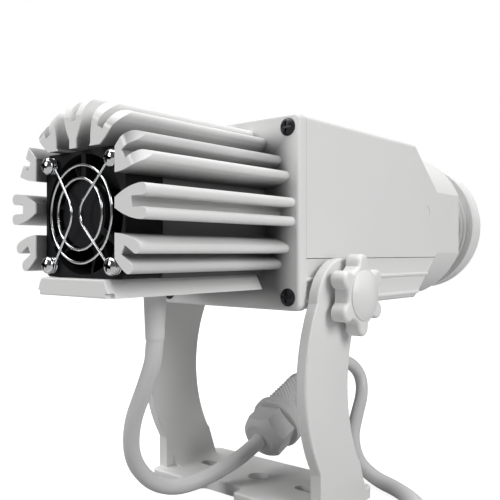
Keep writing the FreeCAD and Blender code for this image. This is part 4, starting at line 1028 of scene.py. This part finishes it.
# The black fan plastic is the painted shade in the crosses.
fan_screws.data.materials.append(fan_plastic)
for face in fan_screws.data.polygons:
    offset = math.hypot(abs(face.center.x) - SCREW_X, abs(face.center.z - FAN_CENTRE_Z) - SCREW_X)
    dome_y = HEAD_TOP + DOME_DROP * (offset / DOME_DROP_AT_R) ** 2
    if offset < CROSS_REACH and dome_y + BELOW_DOME < face.center.y < HEAD_BACK:
        face.material_index = 1
print("dark recess faces:", sum(face.material_index for face in fan_screws.data.polygons))


# %% [markdown]
# ## Coupling sleeve
# The ring that pulls the two halves of the connector together is knurled, so that wet hands
# can turn it. A bump could fake it, but not at the outline. A spun cylinder is a net of
# squares. Taking away every second vertex turns the squares into diamonds, and poking each
# one up gives the knurl's little pyramids.

# %% Spin the sleeve and knurl it
CONNECTOR_START = Vector((0, 0.001, 0.019))
CONNECTOR_RISE = math.radians(23.0)
GRIP_RINGS = 17
GRIP_FROM, GRIP_TO = 0.0178, 0.0334
INNER_WALL_R = 0.0095
PYRAMID_HEIGHT = 0.0006
sleeve_profile = [(8.3, 15.3), (9.6, 15.3), (10.1, 15.8), (10.1, 17.4)]
sleeve_profile += [(9.7, 17.8 + 15.6 * i / GRIP_RINGS) for i in range(GRIP_RINGS + 1)]
sleeve_profile += [(10.1, 33.8), (10.1, 36.4), (9.6, 37.0), (7.95, 37.0), (7.95, 33.05), (8.3, 33.05)]
sleeve = draw_outline("coupling_sleeve_knurled",
                      [(r * MM, 0, z * MM) for r, z in sleeve_profile], closed=True)
turn_round(66, (0, 0, 0), (0, 0, 1))


def pick_grip(margin):
    """Select the outer faces of the grip, but not those within a margin of its ends."""
    pick_faces(lambda middle, normal: GRIP_FROM + margin < middle.z < GRIP_TO - margin
               and math.hypot(middle.x, middle.y) > INNER_WALL_R)


pick_grip(0.0001)
bpy.ops.mesh.unsubdivide(iterations=1)
pick_grip(0.0003)
bpy.ops.mesh.poke(offset=PYRAMID_HEIGHT)
bpy.ops.object.mode_set(mode="OBJECT")
sleeve.rotation_euler = (CONNECTOR_RISE - math.pi / 2, 0, 0)
sleeve.location = CONNECTOR_START
hang_up(sleeve, "yoke", "connector_grey", "coupling_sleeve", smooth=15)


# %% [markdown]
# ## Star knobs
# The clamping knobs are moulded, with six fat lobes, a rounded rim and a smooth cap. Six
# cylinders joined to a disc would give sharp corners in the hollows. So the outline is worked
# out instead: at each angle it takes the farther of a lobe's circle and the hollow, and a
# smooth maximum, the logarithm of added exponentials, rounds the corner between them.

# %% Work out the star's outline
LOBE_COUNT = 6
LOBE_MIDDLE_R, LOBE_R = 0.0117, 0.0033
VALLEY_R, VALLEY_SWELL = 0.0106, 0.0022
SHARPNESS = 1400.0
STAR_LIMIT_R = 0.015
half_lobe = math.pi / LOBE_COUNT


def star_radius(angle):
    """How far the rim is from the axis, with the lobes blended softly into the hollows."""
    off = abs((angle + half_lobe) % (2 * half_lobe) - half_lobe)
    across = LOBE_MIDDLE_R * math.sin(off)
    if across < LOBE_R:
        lobe = LOBE_MIDDLE_R * math.cos(off) + math.sqrt(LOBE_R ** 2 - across ** 2)
    else:
        lobe = 0.0
    hollow = VALLEY_R + VALLEY_SWELL * (1 - off / half_lobe) ** 1.5
    smooth = math.log(math.exp(SHARPNESS * lobe) + math.exp(SHARPNESS * hollow)) / SHARPNESS
    return min(STAR_LIMIT_R, smooth)


print("star radius at a lobe and in a hollow:", round(star_radius(0), 4), round(star_radius(half_lobe), 4))

# %% [markdown]
# ### The knob's body
# The outline is filled and extruded to the knob's thickness. A bevel round the front face
# gives the fat rim, a smaller one softens the back, and the neck is a small part of the back
# inset and pushed out towards the arm.

# %% Model one knob
KNOB_BASE, KNOB_FACE, KNOB_NECK = 0.0434, 0.0496, 0.0426
RIM_POINTS = 120
rim = []
for i in range(RIM_POINTS):
    angle = 2 * math.pi * i / RIM_POINTS
    radius = star_radius(angle)
    rim.append((KNOB_BASE, radius * math.sin(angle), PIVOT_Z + radius * math.cos(angle)))
knob = draw_outline("tilt_knob_star_right", rim, closed=True)
bpy.ops.mesh.edge_face_add()
bpy.ops.mesh.extrude_region_move(TRANSFORM_OT_translate={"value": (KNOB_FACE - KNOB_BASE, 0, 0)})
bpy.ops.mesh.select_all(action="SELECT")
bpy.ops.mesh.normals_make_consistent(inside=False)
pick_faces(lambda middle, normal: normal.x > 0.9)
bpy.ops.mesh.bevel(offset=0.0021, segments=6, affect="EDGES", clamp_overlap=True)
pick_faces(lambda middle, normal: normal.x < -0.9)
bpy.ops.mesh.bevel(offset=0.0006, segments=3, affect="EDGES", clamp_overlap=True)
pick_faces(lambda middle, normal: normal.x < -0.9 and (middle.yz - Vector((0, PIVOT_Z))).length < 0.002)
bpy.ops.mesh.inset(thickness=0.0033)
bpy.ops.mesh.extrude_region_move(TRANSFORM_OT_translate={"value": (KNOB_NECK - KNOB_BASE, 0, 0)})
bpy.ops.object.mode_set(mode="OBJECT")
print("knob faces:", len(knob.data.polygons))

# %% [markdown]
# ### Its mirror copy
# The left knob is the same moulding turned round. A Mirror modifier would make one object of
# both, and each has to turn on its own. So a copy is scaled by -1 across, and since that
# turns its faces inside out, its normals are recalculated.

# %% Mirror the other knob
other_knob = knob.copy()
other_knob.data = knob.data.copy()
other_knob.name = "tilt_knob_star_left"
bpy.context.scene.collection.objects.link(other_knob)
select_none()
other_knob.select_set(True)
bpy.context.view_layer.objects.active = other_knob
bpy.ops.object.mode_set(mode="EDIT")
bpy.ops.mesh.select_all(action="SELECT")
bpy.ops.transform.resize(value=(-1, 1, 1), center_override=(0, 0, 0))
bpy.ops.mesh.normals_make_consistent(inside=False)
bpy.ops.object.mode_set(mode="OBJECT")
hang_up(knob, "knob_right", "white_knob", "tilt_knob_right")
hang_up(other_knob, "knob_left", "white_knob", "tilt_knob_left")


# %% [markdown]
# ## Plug
# The plug is one soft moulding round two pins, narrow where the cable goes in, wide at the
# pins, with a shallow finger grip on each broad side. A smoothed cage of few faces would
# make it a pebble and lose its flat front. So a cube is cut into a net, its back rows are
# drawn together, the grips are insets pushed in, and a bevel rounds only the sharp edges.

# %% Taper, grip and round the plug
PLUG_BACK_X, PLUG_FACE_X, PLUG_Y, PLUG_Z = 0.037, 0.001, -0.117, 0.0068
PLUG_WIDTH, PLUG_HEIGHT = 0.0262, 0.0130
GRIP_FROM_X, GRIP_TO_X, GRIP_HALF_WIDTH = 0.010, 0.024, 0.009
select_none()
bpy.ops.mesh.primitive_cube_add(size=1.0, location=((PLUG_BACK_X + PLUG_FACE_X) / 2, PLUG_Y, PLUG_Z),
                                scale=(PLUG_BACK_X - PLUG_FACE_X, PLUG_WIDTH, PLUG_HEIGHT))
plug = bpy.context.object
plug.name = "plug_moulded"
bpy.ops.object.transform_apply(location=True, rotation=True, scale=True)
bpy.ops.object.mode_set(mode="EDIT")
bpy.ops.mesh.select_all(action="SELECT")
bpy.ops.mesh.subdivide(number_cuts=5)
for cut_x, width in ((PLUG_BACK_X, 0.40), (PLUG_BACK_X - 0.006, 0.66)):
    mesh = bmesh.from_edit_mesh(plug.data)
    for vertex in mesh.verts:
        vertex.select_set(abs(vertex.co.x - cut_x) < 1e-4)
    mesh.select_flush(True)
    bmesh.update_edit_mesh(plug.data)
    bpy.ops.transform.resize(value=(1, width, 0.92), center_override=(cut_x, PLUG_Y, PLUG_Z))
pick_faces(lambda middle, normal: abs(normal.z) > 0.9 and GRIP_FROM_X < middle.x < GRIP_TO_X
           and abs(middle.y - PLUG_Y) < GRIP_HALF_WIDTH)
bpy.ops.mesh.inset(thickness=0.0008)
bpy.ops.transform.resize(value=(1, 1, 0.84), center_override=(0.019, PLUG_Y, PLUG_Z))
bpy.ops.object.mode_set(mode="OBJECT")
round_off = plug.modifiers.new("rounding", "BEVEL")
round_off.width = 0.0011
round_off.segments = 3
round_off.limit_method = "ANGLE"
round_off.angle_limit = math.radians(35)
apply_modifiers(plug)
hang_up(plug, "yoke", "plug_grey", "plug_body")


# %% [markdown]
# ## Cables
# The lead leaves the duct under the heat sink and drops to a waterproof connector. From there
# the supply cable arches over and lies down on the table. A cloth or rope simulation would
# lay them differently each time, so their routes are lists of points, chosen as a hand would
# lay the cable: it leaves each end straight, bends gently and rests where it touches.

# %% Write down both routes, in millimetres
LEAD_ROUTE = [
    (0, -57, 65.98), (0, -57, 60), (-4.4, -57.9, 48.5), (-10.6, -58.5, 35.5),
    (-13.9, -55.8, 22), (-14, -47.5, 11.5), (-12, -37, 6.5), (-8.5, -25.5, 7.2),
    (-3, -14.5, 11.8), (0, -6, 16.03), (0, 1, 19),
]
SUPPLY_ROUTE = [
    (0, 53.47, 41.27), (0.3, 60.5, 44.3), (1.8, 68.5, 43.2), (4, 75.5, 36.5),
    (6.5, 73.2, 27.8), (10.5, 61, 20.2), (15.5, 48, 13), (24, 38.5, 6),
    (36, 32, 3), (49, 26.5, 3), (62, 17, 3), (72, 3, 3), (84, -12, 3),
    (97, -28, 3), (108, -46, 3),
]
TAIL_ROUTE = [(63, -118, 11.5), (50, -117, 6.8), (37, -117, 6.8)]
print("route points:", len(LEAD_ROUTE), len(SUPPLY_ROUTE), len(TAIL_ROUTE))

# %% [markdown]
# ### The coil
# What isn't needed of the supply cable is wound up: two turns side by side on the table, two
# on top of them, and the rest on top of those. A spiral would be one line of a formula, but
# each turn of a real coil stays at its level and changes to the next in a short stretch. The
# stretches are staggered, so that no two of them cross in the same place.

# %% Wind the coil
COIL_CENTRE = (76, -82)
COIL_INNER_R, COIL_OUTER_R = 30.0, 36.0
TURN_POINTS = 16
CHANGE_SHARE, FIRST_CHANGE_AT = 0.16, 0.84


def coil_points():
    """Turns at one radius and height each, with a short change from each to the next."""
    levels = [(COIL_OUTER_R, 3.0), (COIL_INNER_R, 3.0), (COIL_INNER_R, 9.0),
              (COIL_OUTER_R, 9.0), (COIL_INNER_R, 15.0), (COIL_OUTER_R, 15.0)]
    points = []
    for i in range((len(levels) - 1) * TURN_POINTS + TURN_POINTS // 4 + 1):
        turn, step = divmod(i, TURN_POINTS)
        radius, height = levels[turn]
        if turn + 1 < len(levels):
            change_at = (FIRST_CHANGE_AT - CHANGE_SHARE * turn) * TURN_POINTS
            share = min(1.0, max(0.0, (step - change_at) / (CHANGE_SHARE * TURN_POINTS)))
            radius += (levels[turn + 1][0] - radius) * share
            height += (levels[turn + 1][1] - height) * share
        angle = -2 * math.pi * i / TURN_POINTS
        points.append((COIL_CENTRE[0] + radius * math.cos(angle),
                       COIL_CENTRE[1] + radius * math.sin(angle), height))
    return points


print("coil points:", len(coil_points()))

# %% [markdown]
# ### The cables themselves
# A cable has one thickness and bends smoothly, so each is one NURBS curve with a round bevel,
# and the route's points are its control points. A Bezier curve would go through the points
# and bulge between them. Each cable's own centre line is read from it with the bevel off.

# %% Draw the cables
CABLE_DIAMETER = 6.0


def smooth_cable(name, route):
    """One smooth round cable along a route given in millimetres."""
    data = bpy.data.curves.new(name, "CURVE")
    data.dimensions = "3D"
    spline = data.splines.new("NURBS")
    spline.points.add(len(route) - 1)
    for point, place in zip(spline.points, route):
        point.co = (place[0] * MM, place[1] * MM, place[2] * MM, 1.0)
    spline.order_u = 3
    spline.use_endpoint_u = True
    spline.resolution_u = 12
    data.bevel_depth = CABLE_DIAMETER / 2 * MM
    data.bevel_resolution = 6
    data.use_fill_caps = True
    cable = bpy.data.objects.new(name, data)
    bpy.context.scene.collection.objects.link(cable)
    return cable


def centre_line(cable):
    """The points of a cable's own smooth line, read from it with its thickness taken off."""
    bare = bpy.data.objects.new("line", cable.data.copy())
    bare.data.bevel_depth = 0.0
    bpy.context.scene.collection.objects.link(bare)
    mesh = bpy.data.meshes.new_from_object(bare)
    points = [vertex.co.copy() for vertex in mesh.vertices]
    bpy.data.objects.remove(bare)
    bpy.data.meshes.remove(mesh)
    return points


lead = smooth_cable("lead", LEAD_ROUTE)
supply = smooth_cable("supply_flex", SUPPLY_ROUTE + coil_points() + TAIL_ROUTE)
for cable in (lead, supply):
    cable.data.materials.append(finishes["cable_grey"])
print("control points:", len(LEAD_ROUTE), len(supply.data.splines[0].points))

# %% [markdown]
# ### The lead as a mesh
# The lead crosses the tilt axis: its upper end moves with the head, and its lower end stays
# with the yoke. A rigid lead would tear off at one of them. Here it is turned into a mesh
# with its place baked in, its centre line is read, and the plain lead is hidden.

# %% Turn the lead into a mesh
lead_line = centre_line(lead)
select_none()
lead.select_set(True)
bpy.context.view_layer.objects.active = lead
bpy.ops.object.convert(target="MESH")
lead = bpy.context.object
bpy.ops.object.shade_smooth()
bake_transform(lead)
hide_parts("lead_cable")
print("lead vertices:", len(lead.data.vertices))

# %% [markdown]
# ### The supply cable rests
# The supply cable lies with its coil on the table and doesn't move, so it rides on the yoke
# as it is. The tie, the plug and its pins belong to it.

# %% Lay down the supply cable
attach(supply, "yoke")
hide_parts("supply_cable", "supply_coil", "supply_tail")
print("supply cable rides on the yoke, with", len(supply.data.splines[0].points), "points")
